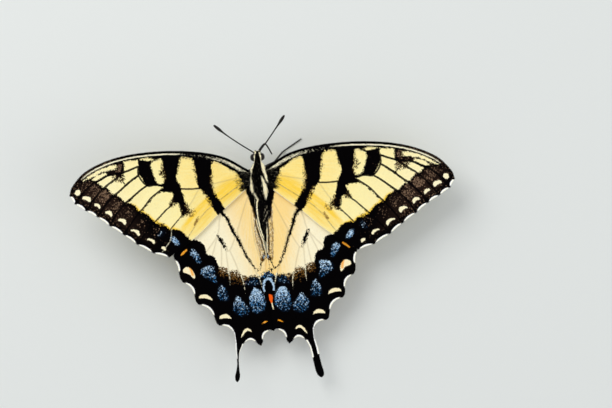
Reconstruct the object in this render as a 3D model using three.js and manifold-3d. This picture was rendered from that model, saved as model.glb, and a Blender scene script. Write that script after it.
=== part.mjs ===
// Eastern tiger swallowtail (Papilio glaucus), a female of the yellow form, life size, basking with
// open wings. Millimetres. +Y runs to the head, +X to the butterfly's right, +Z up; it stands on the
// plane z = 0. The body is lofted from rings, the wings are plan outlines laid on a gently bowed surface.

import * as THREE from 'three';
import { mergeVertices } from 'three/addons/utils/BufferGeometryUtils.js';
import Module from 'manifold-3d';

const wasm = await Module();
wasm.setup();

// ---------------------------------------------------------------- driving dimensions

const GAP = 0.3; // between neighbouring pieces
const SIDES = 16; // facets around the body
const LIMB_SIDES = 8; // facets around a leg, antenna or tail
const LEG_STEPS = 20; // rings along a leg

const BODY_DRIFT = { x: -0.45, bend: 0.0025, at: 1 }; // lies a touch left and curves a little
const BODY_PITCH = 0.085; // rise of the body's axis for each mm towards the head
const BODY_HEIGHT = 9.3; // the axis above the floor at Y = 2

// [Y, half width, half height] of each ring, from the front of the piece to its rear
const HEAD_RINGS = [
  [10.9, 0.5, 0.6], [10.4, 1.15, 1.3], [9.6, 1.5, 1.7], [8.8, 1.5, 1.7], [8, 1.15, 1.35],
];
const THORAX_RINGS = [
  [7.7, 1.3, 1.5], [6.5, 2.05, 2.5], [4.5, 2.85, 3.2], [2.5, 3.1, 3.4], [0.5, 2.95, 3.2],
  [-1, 2.5, 2.7], [-2.1, 2, 2.1],
];
const ABDOMEN_RINGS = [
  [-2.4, 1.75, 1.85], [-4, 2.1, 2.15], [-6.5, 2.3, 2.35], [-9, 2.2, 2.2], [-11.5, 1.8, 1.75],
  [-13.5, 1.15, 1.15], [-14.8, 0.4, 0.45],
];

const EYE = { out: 1.2, y: 9.3, up: 0.1, size: [0.85, 1.05, 1.15] };

const WING_THICKNESS = 0.5;
const WING_GRID = 3; // spacing of the bowed surface's facets
const HINGE = { out: 3, z: 11.1 }; // root of the forewings
const RISE = { // of each side's wings towards their tips
  left: Math.tan(THREE.MathUtils.degToRad(13)),
  right: Math.tan(THREE.MathUtils.degToRad(5)),
};
const BOW = { drop: 0.6, over: 25 }; // the wings arch down towards their tips
const UNDERLAP = 0.95; // the hindwings' surface lies this far below the forewings'
const DROOP = { from: -5, drop: 0.18, over: 10 }; // the hindwings hang a little to the rear
const MIDLINE = { lift: 0.3, reach: 3, from: 14, to: 19 }; // where the right hindwing laps over the left

// Each wing's plan follows the left wing, mirrored, then set at its own stretch, sweep and lean.
const SETTING = {
  forewing_left: { wider: 1, sweep: 0, lean: 0, longer: 1, shift: [0, 0] },
  hindwing_left: { wider: 1, sweep: 0, lean: 0, longer: 1, shift: [0, 0] },
  forewing_right: { wider: 1.052, sweep: -0.108, lean: 0.077, longer: 1.016, shift: [-2.2, 0.35] },
  hindwing_right: { wider: 1.0245, sweep: -0.104, lean: -0.034, longer: 0.999, shift: [-2.23, 0.29] },
};

// Forewing: root, leading edge, the tips of the veins along the outer margin, and the trailing edge
const FORE_ROOT = [[3.2, 1.6], [2.4, 3.4], [2.6, 5.4]];
const FORE_COSTA = [
  [3.3, 6], [10, 10.3], [19, 12.6], [30, 13.45], [40, 12.6], [48, 9.8], [52.2, 6], [53.3, 3.4],
];
const FORE_VEIN_TIPS = [
  [53.3, 3.4], [52.1, 1], [49.2, -1.2], [46.2, -3.2], [43, -6], [39.4, -8.8], [36, -11.8],
  [31.7, -14.7], [27.4, -16.3],
];
const FORE_TRAILING = [[27.4, -16.3], [23, -13.7], [18, -10.3], [12.5, -5.6], [8, -2.2], [3.2, 1.6]];
const FORE_SCALLOP = 0.2; // depth of the notch between two veins

// Hindwing: leading edge under the forewing, the lobes at the veins' tips, the tail's root, the tooth
// beside the body and the inner margin
const HIND_COSTA = [[2.6, 2.2], [10, 0.5], [17, -4.2], [23.5, -10.8], [26.2, -16.1]];
const HIND_LOBES = [
  [[26.2, -16.1], [26, -17]],
  [[25.1, -21], [24.9, -22.5], [24.3, -23.6]],
  [[21.4, -28], [21.2, -29.3], [20.6, -30.2]],
  [[16.4, -34.5], [16, -36], [15.3, -36.7]],
  [[11.4, -39.4], [11.3, -42.2], [9.2, -42.7]],
  [[5.2, -42.8], [4.3, -43.5], [3.7, -42.4]],
  [[1.1, -39.6]],
];
const HIND_NOTCHES = [0.3, 0.9, 1, 0.9, 1.3, 0.9]; // depth of the notch after each lobe
const HIND_INNER = {
  left: [
    [0.5, -39.85], [0.4, -30], [0.4, -20], [0.5, -17], [0.75, -15], [1.05, -13.5], [1.7, -11],
    [2.1, -8.5], [2.3, -5], [2.3, 0], [2.6, 2.2],
  ],
  right: [
    [0.5, -39.85], [0.4, -30], [0.5, -23], [1.1, -20], [1.5, -17.5], [1.75, -15], [2.1, -12],
    [2.3, -6], [2.3, 0], [2.6, 2.2],
  ],
};

// Tail: [Y, centre X, half width, twist in degrees on the left, on the right]
const TAIL_RINGS = [
  [-43.05, 10.5, 1.1, 34, 0], [-44.5, 10.9, 1, 58, 0], [-46, 11.05, 0.95, 72, 4],
  [-48, 11.2, 0.95, 80, 8], [-50, 11.45, 1, 66, 10], [-51.3, 11.65, 1.05, 52, 10],
  [-52.4, 11.8, 0.8, 50, 10], [-52.9, 11.85, 0.3, 50, 10],
];

const ANTENNA_RADIUS = [0.3, 0.25, 0.25, 0.26, 0.3, 0.55, 0.6, 0.25]; // shaft, then the club
const ANTENNA_ROUTES = {
  left: [
    [-0.75, 10.1, 10.4], [-1.5, 10.9, 11.2], [-4.6, 13.2, 13.9], [-8.3, 16.2, 17.5], [-11.4, 19.1, 20.8],
  ],
  right: [[0.2, 10.1, 10.4], [0.9, 11.3, 11.3], [2.9, 13.5, 13.9], [5.6, 16.7, 17.5], [8.3, 20, 20.8]],
};
const PALP = {
  radius: [0.25, 0.42, 0.42, 0.25],
  route: [[0.6, 10.3, 8.7], [0.8, 11, 9], [0.8, 11.4, 9.8]],
};
const PROBOSCIS = {
  radius: [0.32, 0.3, 0.28, 0.27, 0.26],
  route: [
    [-0.1, 10.4, 8.3], [0.5, 11.3, 8], [1.5, 12.5, 7.6], [2.2, 12.8, 6.9], [2.9, 11.8, 5.2],
    [3.8, 9.8, 2.6],
  ],
};

// Legs: hip, knee, ankle, and the foot that lies along the floor
const FOOT_Z = 0.22; // the foot's middle; its underside is cut flat at z = 0
const LEG_RADIUS = { hip: 0.55, thigh: 0.5, knee: 0.4, shin: 0.34, foot: 0.32 };
const LEG_ROUTES = {
  leg_front_left: [[-1.6, 6, 7.6], [-4.4, 5.4, 6.2], [-6.4, 4.6, 1.2], [-7.2, 4.4], [-11.6, 5.4]],
  leg_front_right: [[0.7, 6, 7.6], [4.3, 7.5, 6.4], [6.7, 10, 1.2], [7.5, 10.6], [12, 13.1]],
  leg_middle_left: [[-2, 3, 7.2], [-6.3, 2.4, 6.2], [-9.7, 0.7, 1.2], [-10.4, 0.4], [-14.8, -1]],
  leg_middle_right: [[1.2, 3, 7.2], [5.9, 2.6, 6.2], [9.5, 0.9, 1.2], [10.2, 0.6], [14.6, -0.6]],
  leg_hind_left: [[-2, 0.4, 7.2], [-4.9, -4.4, 6.4], [-7.5, -10.2, 1.2], [-7.8, -11.1], [-10.1, -15.8]],
  leg_hind_right: [[1.2, 0.4, 7.2], [4.2, -4.4, 6.4], [6.9, -10.2, 1.2], [7.3, -11.1], [9.4, -15.8]],
};

// ---------------------------------------------------------------- materials

const finish = (color, roughness) => new THREE.MeshStandardMaterial({ color, roughness, metalness: 0 });
const FINISH = {
  coat: finish(0x16120f, 0.9),
  wing: finish(0xf6dd9a, 0.75),
  tail: finish(0x100c0e, 0.75),
  eye: finish(0x1c1512, 0.25),
  horn: finish(0x0e0b0b, 0.5),
};

// ---------------------------------------------------------------- shape helpers

/** The signed volume of a closed triangle mesh: positive when its faces point outwards. */
function signedVolume(geometry) {
  const { position } = geometry.attributes;
  const corners = geometry.index.array;
  const [a, b, c] = [new THREE.Vector3(), new THREE.Vector3(), new THREE.Vector3()];
  let volume = 0;
  for (let i = 0; i < corners.length; i += 3) {
    a.fromBufferAttribute(position, corners[i]);
    b.fromBufferAttribute(position, corners[i + 1]);
    c.fromBufferAttribute(position, corners[i + 2]);
    volume += a.dot(b.cross(c)) / 6;
  }
  return volume;
}

/** Merges a geometry's shared vertices and turns its faces outwards. */
function closed(geometry) {
  geometry.deleteAttribute('normal');
  geometry.deleteAttribute('uv');
  const merged = mergeVertices(geometry, 1e-5);
  if (signedVolume(merged) < 0) merged.index.array.reverse();
  return merged;
}

function toSolid(geometry) {
  const merged = closed(geometry);
  return new wasm.Manifold(new wasm.Mesh({
    numProp: 3,
    vertProperties: new Float32Array(merged.attributes.position.array),
    triVerts: new Uint32Array(merged.index.array),
  }));
}

function toGeometry(solid) {
  const mesh = solid.getMesh();
  const geometry = new THREE.BufferGeometry();
  geometry.setAttribute('position', new THREE.BufferAttribute(mesh.vertProperties, 3));
  geometry.setIndex(new THREE.BufferAttribute(mesh.triVerts, 1));
  return geometry;
}

/** A closed loft, capped at both ends; rings are { at, across, up }, ellipses of those half axes. */
function loft(rings, sides) {
  const tip = ({ at }) => ({ at, across: new THREE.Vector3(), up: new THREE.Vector3() });
  const all = [tip(rings[0]), ...rings, tip(rings[rings.length - 1])];
  const geometry = new THREE.LatheGeometry(all.map((ring, i) => new THREE.Vector2(1, i)), sides);
  const { position } = geometry.attributes;
  const point = new THREE.Vector3();
  for (let i = 0; i < position.count; i++) {
    const { at, across, up } = all[i % all.length];
    point.fromBufferAttribute(position, i);
    const [sine, cosine] = [point.x, point.z];
    point.copy(at).addScaledVector(across, sine).addScaledVector(up, cosine);
    position.setXYZ(i, point.x, point.y, point.z);
  }
  return toSolid(geometry);
}

/** A round limb along a smooth route, its radius taken evenly from the list. */
function limb(route, radii, steps) {
  const points = route.map((p) => new THREE.Vector3(...p));
  const path = new THREE.CatmullRomCurve3(points, false, 'centripetal');
  const widths = new THREE.SplineCurve(radii.map((r, i) => new THREE.Vector2(i, r)));
  const rings = Array.from({ length: steps + 1 }, (_, i) => {
    const along = path.getTangentAt(i / steps);
    const radius = widths.getPoint(i / steps).y;
    const across = new THREE.Vector3(along.y, -along.x, 0).normalize();
    const up = new THREE.Vector3().crossVectors(across, along);
    across.multiplyScalar(radius);
    up.multiplyScalar(radius);
    return { at: path.getPointAt(i / steps), across, up };
  });
  return loft(rings, LIMB_SIDES);
}

// ---------------------------------------------------------------- body

/** A point of the body's axis at a given Y. */
function axis(y) {
  const x = BODY_DRIFT.x + BODY_DRIFT.bend * (y - BODY_DRIFT.at) ** 2;
  return new THREE.Vector3(x, y, BODY_HEIGHT + BODY_PITCH * (y - 2));
}

/** A length of the body through its rings, grown outwards all over by the given room. */
function bodyLength(rings, steps, room = 0) {
  const curve = new THREE.CatmullRomCurve3(rings.map(([y, w, h]) => new THREE.Vector3(w, y, h)));
  const points = curve.getPoints(steps);
  points[0].y += room;
  points[steps].y -= room;
  return loft(points.map(({ x: width, y, z: height }) => ({
    at: axis(y),
    across: new THREE.Vector3(width + room, 0, 0),
    up: new THREE.Vector3(0, 0, height + room),
  })), SIDES);
}

function eye(side, room = 0) {
  const ball = new THREE.SphereGeometry(1, SIDES, SIDES / 2);
  ball.scale(...EYE.size.map((radius) => radius + room));
  const centre = axis(EYE.y);
  ball.translate(centre.x + side * EYE.out, centre.y, centre.z + EYE.up);
  return toSolid(ball);
}

const head = bodyLength(HEAD_RINGS, 10).subtract(eye(-1, GAP / 2)).subtract(eye(1, GAP / 2));
const headRoom = bodyLength(HEAD_RINGS, 10, GAP).add(eye(-1, GAP)).add(eye(1, GAP));
const trunkRoom = bodyLength(THORAX_RINGS, 14, GAP).add(bodyLength(ABDOMEN_RINGS, 16, GAP));

// ---------------------------------------------------------------- wings

/** Height of a wing's middle surface over a plan point. */
function wingHeight(kind, side, x, y) {
  const out = (side === 'left' ? -x : x) - HINGE.out;
  const height = HINGE.z + RISE[side] * out - BOW.drop * (out / BOW.over) ** 2;
  if (kind === 'forewing') return height;
  const droop = DROOP.drop * (Math.max(0, DROOP.from - y) / DROOP.over) ** 2;
  const lap = MIDLINE.lift * Math.exp(-((x / MIDLINE.reach) ** 2))
    * THREE.MathUtils.smoothstep(-y, MIDLINE.from, MIDLINE.to);
  return height - UNDERLAP - droop + (side === 'left' ? -lap : lap);
}

/** A point of the mirrored left wing's plan, put where it lies on the named wing. */
function placed(kind, side, [x, y]) {
  const { wider, sweep, lean, longer, shift } = SETTING[`${kind}_${side}`];
  const out = wider * x + lean * y + shift[0];
  return new THREE.Vector2(side === 'left' ? -out : out, sweep * x + longer * y + shift[1]);
}

function curveThrough(points, steps) {
  const curve = new THREE.SplineCurve(points.map((p) => new THREE.Vector2(...p)));
  return curve.getPoints(steps).map(({ x, y }) => [x, y]);
}

/** A shallow arc between two tips of the margin, hollowed by the given depth towards the wing. */
function notch([x0, y0], [x1, y1], depth, steps) {
  const length = Math.hypot(x1 - x0, y1 - y0);
  const inward = [(y1 - y0) / length, (x0 - x1) / length];
  return Array.from({ length: steps - 1 }, (_, i) => {
    const t = (i + 1) / steps;
    const hollow = depth * 4 * t * (1 - t);
    return [x0 + (x1 - x0) * t + inward[0] * hollow, y0 + (y1 - y0) * t + inward[1] * hollow];
  });
}

function forewingOutline() {
  const costa = curveThrough(FORE_COSTA, 22).slice(0, -1);
  const margin = FORE_VEIN_TIPS.slice(0, -1).flatMap((tip, i) => {
    return [tip, ...notch(tip, FORE_VEIN_TIPS[i + 1], FORE_SCALLOP, 4)];
  });
  const trailing = curveThrough(FORE_TRAILING, 10).slice(0, -1);
  return [...FORE_ROOT, ...costa, ...margin, ...trailing];
}

function hindwingOutline(side) {
  const costa = curveThrough(HIND_COSTA, 10).slice(0, -1);
  const margin = HIND_LOBES.slice(0, -1).flatMap((lobe, i) => {
    const next = HIND_LOBES[i + 1][0];
    return [...lobe, ...notch(lobe[lobe.length - 1], next, HIND_NOTCHES[i], 6)];
  });
  const inner = curveThrough(HIND_INNER[side], 20).slice(0, -1);
  return [...costa, ...margin, ...inner];
}

/** A wing: its outline's prism cut out of a thin bowed sheet, clear of the body. */
function wing(kind, side, outline) {
  const plan = outline.map((point) => placed(kind, side, point));
  const box = new THREE.Box2().setFromPoints(plan).expandByScalar(1);
  const [size, centre] = [box.getSize(new THREE.Vector2()), box.getCenter(new THREE.Vector2())];
  const cells = [Math.ceil(size.x / WING_GRID), Math.ceil(size.y / WING_GRID)];
  const sheet = new THREE.BoxGeometry(size.x, size.y, WING_THICKNESS, ...cells, 1);
  sheet.translate(centre.x, centre.y, 0);
  const { position } = sheet.attributes;
  for (let i = 0; i < position.count; i++) {
    const [x, y] = [position.getX(i), position.getY(i)];
    position.setZ(i, position.getZ(i) + wingHeight(kind, side, x, y));
  }
  const prism = new THREE.ExtrudeGeometry(new THREE.Shape(plan), { depth: 40, bevelEnabled: false });
  return toSolid(sheet).intersect(toSolid(prism)).subtract(trunkRoom);
}

/** A hindwing's tail: a flat blade along its own axis, on the left twisted to stand on edge. */
function tail(side) {
  const outward = side === 'left' ? -1 : 1;
  return loft(TAIL_RINGS.map(([y, x, half, twistLeft, twistRight]) => {
    const plan = placed('hindwing', side, [x, y]);
    const twist = THREE.MathUtils.degToRad(side === 'left' ? twistLeft : twistRight);
    const [flat, steep] = [Math.cos(twist), Math.sin(twist)];
    return {
      at: new THREE.Vector3(plan.x, plan.y, wingHeight('hindwing', side, plan.x, plan.y)),
      across: new THREE.Vector3(outward * half * flat, 0, half * steep),
      up: new THREE.Vector3(-outward * steep, 0, flat).multiplyScalar(WING_THICKNESS / 2),
    };
  }), LIMB_SIDES);
}

// ---------------------------------------------------------------- legs

const aboveFloor = toSolid(new THREE.BoxGeometry(200, 200, 60).translate(0, 0, 30));

/** A leg from its hip to the foot, cut flat where the foot lies on the floor. */
function leg([hip, knee, ankle, heel, toe]) {
  const between = (a, b, t) => a.map((value, i) => value + (b[i] - value) * t);
  const footStart = [...heel, FOOT_Z];
  const footEnd = [...toe, FOOT_Z];
  const route = [hip, between(hip, knee, 0.8), knee, between(knee, ankle, 0.3), ankle, footStart,
    between(footStart, footEnd, 0.3), footEnd];
  const { hip: atHip, thigh, knee: atKnee, shin, foot } = LEG_RADIUS;
  const whole = limb(route, [atHip, thigh, atKnee, shin, shin, foot, foot, foot], LEG_STEPS);
  return whole.intersect(aboveFloor).subtract(trunkRoom);
}

// ---------------------------------------------------------------- the butterfly

const butterfly = new THREE.Group();

function piece(name, solid, material, parent) {
  const mesh = new THREE.Mesh(toGeometry(solid), material);
  mesh.name = name;
  parent.add(mesh);
}

const trunk = new THREE.Group();
piece('head', head, FINISH.coat, trunk);
piece('thorax', bodyLength(THORAX_RINGS, 14), FINISH.coat, trunk);
piece('abdomen', bodyLength(ABDOMEN_RINGS, 16), FINISH.coat, trunk);
butterfly.add(trunk);

const face = new THREE.Group();
for (const [side, sign] of [['left', -1], ['right', 1]]) {
  const palpRoute = PALP.route.map(([x, y, z]) => [axis(y).x + sign * x, y, z]);
  const antenna = limb(ANTENNA_ROUTES[side], ANTENNA_RADIUS, 20);
  piece(`eye_${side}`, eye(sign), FINISH.eye, face);
  piece(`palp_${side}`, limb(palpRoute, PALP.radius, 6).subtract(headRoom), FINISH.coat, face);
  piece(`antenna_${side}`, antenna.subtract(headRoom), FINISH.horn, face);
}
const proboscis = limb(PROBOSCIS.route, PROBOSCIS.radius, 16);
piece('proboscis', proboscis.subtract(headRoom), FINISH.horn, face);
butterfly.add(face);

const wings = new THREE.Group();
for (const side of ['left', 'right']) {
  piece(`forewing_${side}`, wing('forewing', side, forewingOutline()), FINISH.wing, wings);
  piece(`hindwing_${side}`, wing('hindwing', side, hindwingOutline(side)), FINISH.wing, wings);
  piece(`tail_${side}`, tail(side), FINISH.tail, wings);
}
butterfly.add(wings);

const legs = new THREE.Group();
for (const [name, route] of Object.entries(LEG_ROUTES)) {
  piece(name, leg(route), FINISH.horn, legs);
}
butterfly.add(legs);

// The origin is the middle of the butterfly's box, on the floor.
const box = new THREE.Box3().setFromObject(butterfly);
const middle = box.getCenter(new THREE.Vector3());
butterfly.position.set(-middle.x, -middle.y, -box.min.z);
butterfly.updateMatrixWorld(true);

export default butterfly;
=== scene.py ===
"""An eastern tiger swallowtail, life size: skins, scales, hair and eyes over the butterfly's construction.

Shapes are worked out in millimetres about the middle of the thorax, with X to the butterfly's right, Y to its
head and Z up from the floor, and put into the model's frame, in metres, as each piece is finished.
"""

import math

import bmesh
import bpy
import numpy as np
from mathutils import Matrix, Vector


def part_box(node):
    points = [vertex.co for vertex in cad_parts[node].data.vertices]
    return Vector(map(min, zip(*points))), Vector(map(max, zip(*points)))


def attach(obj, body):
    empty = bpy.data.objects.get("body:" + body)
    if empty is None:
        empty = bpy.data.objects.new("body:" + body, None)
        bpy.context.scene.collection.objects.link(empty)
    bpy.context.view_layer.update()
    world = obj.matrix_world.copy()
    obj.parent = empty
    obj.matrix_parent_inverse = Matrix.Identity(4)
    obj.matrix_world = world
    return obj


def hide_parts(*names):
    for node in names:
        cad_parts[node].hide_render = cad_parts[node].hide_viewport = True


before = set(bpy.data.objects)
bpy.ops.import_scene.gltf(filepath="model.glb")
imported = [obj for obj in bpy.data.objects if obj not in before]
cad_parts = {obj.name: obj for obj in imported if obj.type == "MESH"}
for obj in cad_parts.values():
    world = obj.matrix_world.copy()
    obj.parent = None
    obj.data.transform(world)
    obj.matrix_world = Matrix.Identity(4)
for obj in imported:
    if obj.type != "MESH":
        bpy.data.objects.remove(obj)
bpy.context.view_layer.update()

MM = 0.001
TINY = 1e-9
NOWHERE = -9.0  # a marking's field far outside it
WING_TIP_X = -53.3  # the left forewing's tip
THORAX_FRONT_Y = 7.7
SEED = 7
SIDES = {"left": -1, "right": 1}
KINDS = ("forewing", "hindwing")


def body_origin():
    """Where the shapes' own origin lies in the model's frame, found from two construction pieces."""
    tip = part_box("forewing_left")[0]
    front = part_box("thorax")[1]
    return np.array([tip.x - WING_TIP_X * MM, front.y - THORAX_FRONT_Y * MM, 0])


ORIGIN = body_origin()

# ---------------------------------------------------------------- construction sizes, as the solids have them

BODY_DRIFT, BODY_BEND, BODY_BEND_AT = -0.45, 0.0025, 1
BODY_HEIGHT, BODY_PITCH, BODY_LEVEL_AT = 9.3, 0.085, 2
EYE_OUT, EYE_Y, EYE_UP, EYE_SIZE = 1.2, 9.3, 0.1, (0.85, 1.05, 1.15)

HINGE_OUT, HINGE_Z = 3, 11.1
RISE = {"left": math.tan(math.radians(13)), "right": math.tan(math.radians(5))}
BOW_DROP, BOW_OVER = 0.6, 25
UNDERLAP = 0.95
DROOP_FROM, DROOP_DROP, DROOP_OVER = -5, 0.18, 10
LAP_LIFT, LAP_REACH, LAP_FROM, LAP_TO = 0.1, 3, 14, 19  # less than the thicker solids need

# each wing's plan is the mirrored left wing's: (wider, lean, shift), (sweep, longer, shift)
SETTING = {
    "forewing_left": np.array([[1, 0, 0], [0, 1, 0]]),
    "hindwing_left": np.array([[1, 0, 0], [0, 1, 0]]),
    "forewing_right": np.array([[1.052, 0.077, -2.2], [-0.108, 1.016, 0.35]]),
    "hindwing_right": np.array([[1.0245, -0.034, -2.23], [-0.104, 0.999, 0.29]]),
}

FORE_ROOT = [(3.2, 1.6), (2.4, 3.4), (2.6, 5.4)]
FORE_COSTA = [(3.3, 6), (10, 10.3), (19, 12.6), (30, 13.45), (40, 12.6), (48, 9.8), (52.2, 6), (53.3, 3.4)]
FORE_TIPS = [
    (53.3, 3.4), (52.1, 1), (49.2, -1.2), (46.2, -3.2), (43, -6), (39.4, -8.8), (36, -11.8), (31.7, -14.7),
    (27.4, -16.3),
]
FORE_TRAILING = [(27.4, -16.3), (23, -13.7), (18, -10.3), (12.5, -5.6), (8, -2.2), (3.2, 1.6)]
FORE_SCALLOP = 0.2

HIND_COSTA = [(2.6, 2.2), (10, 0.5), (17, -4.2), (23.5, -10.8), (26.2, -16.1)]
HIND_LOBES = [
    [(26.2, -16.1), (26, -17)],
    [(25.1, -21), (24.9, -22.5), (24.3, -23.6)],
    [(21.4, -28), (21.2, -29.3), (20.6, -30.2)],
    [(16.4, -34.5), (16, -36), (15.3, -36.7)],
    [(11.4, -39.4), (11.35, -42)],
    [(5.2, -42.8), (4.3, -43.5), (3.7, -42.4)],
    [(1.15, -39.3), (0.5, -39.85)],
]
HIND_NOTCHES = [0.3, 0.9, 1, 0.9, 1.3, 0.9]
TAIL_LOBE = 4  # the lobe that the tail grows from
HIND_INNER = {
    "left": [
        (0.25, -39.7), (0.1, -38.6), (-0.7, -36.8), (-1.2, -34), (-1.2, -24), (-0.6, -20.8), (0.2, -18.6),
        (0.5, -17), (0.75, -15), (1.05, -13.5), (1.7, -11), (2.1, -8.5), (2.3, -5), (2.3, 0), (2.6, 2.2),
    ],
    "right": [
        (0.5, -39.85), (0.4, -30), (0.5, -23), (1.1, -20), (1.5, -17.5), (1.75, -15), (2.1, -12), (2.3, -6),
        (2.3, 0), (2.6, 2.2),
    ],
}

# tail: Y, centre X, half width; and its twist in degrees on each side
TAIL_Y = np.array([-43.05, -44.5, -46, -48, -50, -51.3, -52.4, -52.9])
TAIL_X = np.array([10.5, 10.9, 11.05, 11.2, 11.45, 11.65, 11.8, 11.85])
TAIL_HALF = np.array([1.1, 1, 0.95, 0.95, 1, 1.05, 0.8, 0.3])
TAIL_END = 0.15  # from the last ring to the tip
TAIL_FOOT = [(9.55, -43.6), (9.2, -42.7)]  # where the tail's inner edge comes back to the margin
TAIL_TWIST = {
    "left": np.array([34, 58, 72, 80, 66, 52, 50, 50]),
    "right": np.array([0, 0, 4, 8, 10, 10, 10, 10]),
}
TWIST_STARTS_Y, TWIST_REACH_X = -40.5, (6.5, 9)

# ---------------------------------------------------------------- plain geometry


def smoothstep(low, high, value):
    share = np.clip((value - low) / (high - low), 0, 1)
    return share * share * (3 - 2 * share)


def unit(directions):
    """The same directions, all one long."""
    return directions / np.maximum(np.linalg.norm(directions, axis=-1, keepdims=True), TINY)


def through(points, steps):
    """A smooth run through points, steps to each span (Catmull-Rom)."""
    known = np.array(points, float)
    known = np.vstack([2 * known[0] - known[1], known, 2 * known[-1] - known[-2]])
    run = []
    for a, b, c, d in zip(known[:-3], known[1:-2], known[2:-1], known[3:]):
        t = np.linspace(0, 1, steps, endpoint=False)[:, None]
        run.append(0.5 * (2 * b + (c - a) * t + (2 * a - 5 * b + 4 * c - d) * t**2
                          + (3 * b - a - 3 * c + d) * t**3))
    return np.vstack([*run, known[-2:-1]])


def paced(line):
    """How far along a line each of its points lies."""
    return np.r_[0, np.cumsum(np.hypot(*np.diff(line, axis=0).T))]


def closed(ring):
    return np.vstack([ring, ring[:1]])


def rounded(points, rounds):
    """A closed outline with its corners cut in rounds, so that it runs smoothly."""
    ring = np.array(points, float)
    for _ in range(rounds):
        after = np.roll(ring, -1, axis=0)
        ring = np.stack([0.75 * ring + 0.25 * after, 0.25 * ring + 0.75 * after], axis=1).reshape(-1, 2)
    return ring


def nearest_on(spots, line):
    """The nearest point of a run of straight pieces to each spot, and its distance."""
    line = np.array(line, float)
    best = np.full(len(spots), np.inf)
    nearest = np.zeros_like(spots)
    for start, end in zip(line[:-1], line[1:]):
        run = end - start
        share = np.clip(((spots - start) @ run) / max(run @ run, TINY**2), 0, 1)
        point = start + share[:, None] * run
        distance = np.hypot(*(spots - point).T)
        closer = distance < best
        best = np.where(closer, distance, best)
        nearest[closer] = point[closer]
    return nearest, best


def away(spots, line):
    return nearest_on(spots, line)[1]


def within(spots, ring):
    """How far inside a closed outline each spot lies; outside it is negative."""
    ring = closed(ring)
    inside = np.zeros(len(spots), bool)
    for (x0, y0), (x1, y1) in zip(ring[:-1], ring[1:]):
        crosses = (y0 > spots[:, 1]) != (y1 > spots[:, 1])
        slope = (x1 - x0) / (y1 - y0) if y1 != y0 else 0
        inside ^= crosses & (spots[:, 0] < x0 + (spots[:, 1] - y0) * slope)
    distance = away(spots, ring)
    return np.where(inside, distance, -distance)


def patch(spots, points, rounds=2):
    return within(spots, rounded(points, rounds))


def joined(fields, blend=0.0):
    """The union of fields that are positive inside, their meeting corners filled in by the blend."""
    total = fields[0]
    for field in fields[1:]:
        overlap = np.clip(blend - np.abs(total - field), 0, None)
        total = np.maximum(total, field) + (overlap**2 / (4 * blend) if blend else 0)
    return total


def stroke(spots, line, half, half_end=None):
    """A drawn line: positive inside, its half width running from half to half_end."""
    line = through(line, 4)
    if half_end is None:
        return half - away(spots, line)
    lengths = paced(line)
    nearest, distance = nearest_on(spots, line)
    gaps = nearest[:, None] - line[None]
    order = np.argmin(np.hypot(gaps[..., 0], gaps[..., 1]), axis=1)
    share = lengths[order] / lengths[-1]
    return half + (half_end - half) * share - distance


def blob(spots, x, y, long, wide, turn=0.0, weight=1.0):
    """An ellipse: its weight at the middle, 0 on the edge and negative outside."""
    c, s = math.cos(math.radians(turn)), math.sin(math.radians(turn))
    out_x, out_y = (spots - (x, y)).T
    return weight * (1 - np.hypot((c * out_x + s * out_y) / long, (c * out_y - s * out_x) / wide))


def blobs(spots, rows):
    """The most of several ellipses."""
    return np.maximum.reduce([blob(spots, *row) for row in rows])


def glow(spots, x, y, long, wide, turn, weight, low=0.0, high=0.8):
    """An ellipse of one weight, its edge soft from low to high."""
    return weight * smoothstep(low, high, blob(spots, x, y, long, wide, turn))


# ---------------------------------------------------------------- wing plans


def hollowed(start, end, depth, t):
    """Points between two tips of a margin, hollowed towards the wing, and the way inward."""
    start, end, t = np.array(start, float), np.array(end, float), t[:, None]
    run = end - start
    inward = np.array([run[1], -run[0]]) / np.hypot(*run)
    return start + run * t + inward * depth * 4 * t * (1 - t), inward


def notch(ends_and_depth, steps):
    return hollowed(*ends_and_depth, np.linspace(0, 1, steps + 1)[1:-1])[0]


def hind_notches():
    """The notches between the hindwing's lobes: two tips and a depth for each."""
    starts = [TAIL_FOOT[-1] if i == TAIL_LOBE else lobe[-1] for i, lobe in enumerate(HIND_LOBES[:-1])]
    return [(start, lobe[0], depth) for start, lobe, depth in zip(starts, HIND_LOBES[1:], HIND_NOTCHES)]


NOTCHES = {
    "forewing": [(start, end, FORE_SCALLOP) for start, end in zip(FORE_TIPS[:-1], FORE_TIPS[1:])],
    "hindwing": hind_notches(),
}


def fore_outline():
    margin = [np.vstack([ends[0], notch(ends, 8)]) for ends in NOTCHES["forewing"]]
    return np.vstack([FORE_ROOT, through(FORE_COSTA, 8)[:-1], *margin, through(FORE_TRAILING, 4)[:-1]])


def tail_sides():
    """The tail's outer edge going down to its tip, and its inner edge coming back up."""
    fine = through(np.stack([TAIL_X, TAIL_Y, TAIL_HALF], axis=1)[1:], 4)
    outer = np.stack([fine[:, 0] + fine[:, 2], fine[:, 1]], axis=1)
    inner = np.stack([fine[:, 0] - fine[:, 2], fine[:, 1]], axis=1)[::-1]
    return np.vstack([outer, [[TAIL_X[-1], TAIL_Y[-1] - TAIL_END]], inner, TAIL_FOOT])


def hind_outline(side):
    run = [through(HIND_COSTA, 6)[:-1]]
    for i, ends in enumerate(NOTCHES["hindwing"]):
        run.append(HIND_LOBES[i])
        if i == TAIL_LOBE:
            run.append(tail_sides())
        run.append(notch(ends, 10))
    return np.vstack([*run, HIND_LOBES[-1][:1], through(HIND_INNER[side], 6)[:-1]])


OUTLINES = {
    "forewing": {side: fore_outline() for side in SIDES},
    "hindwing": {side: hind_outline(side) for side in SIDES},
}

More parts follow.
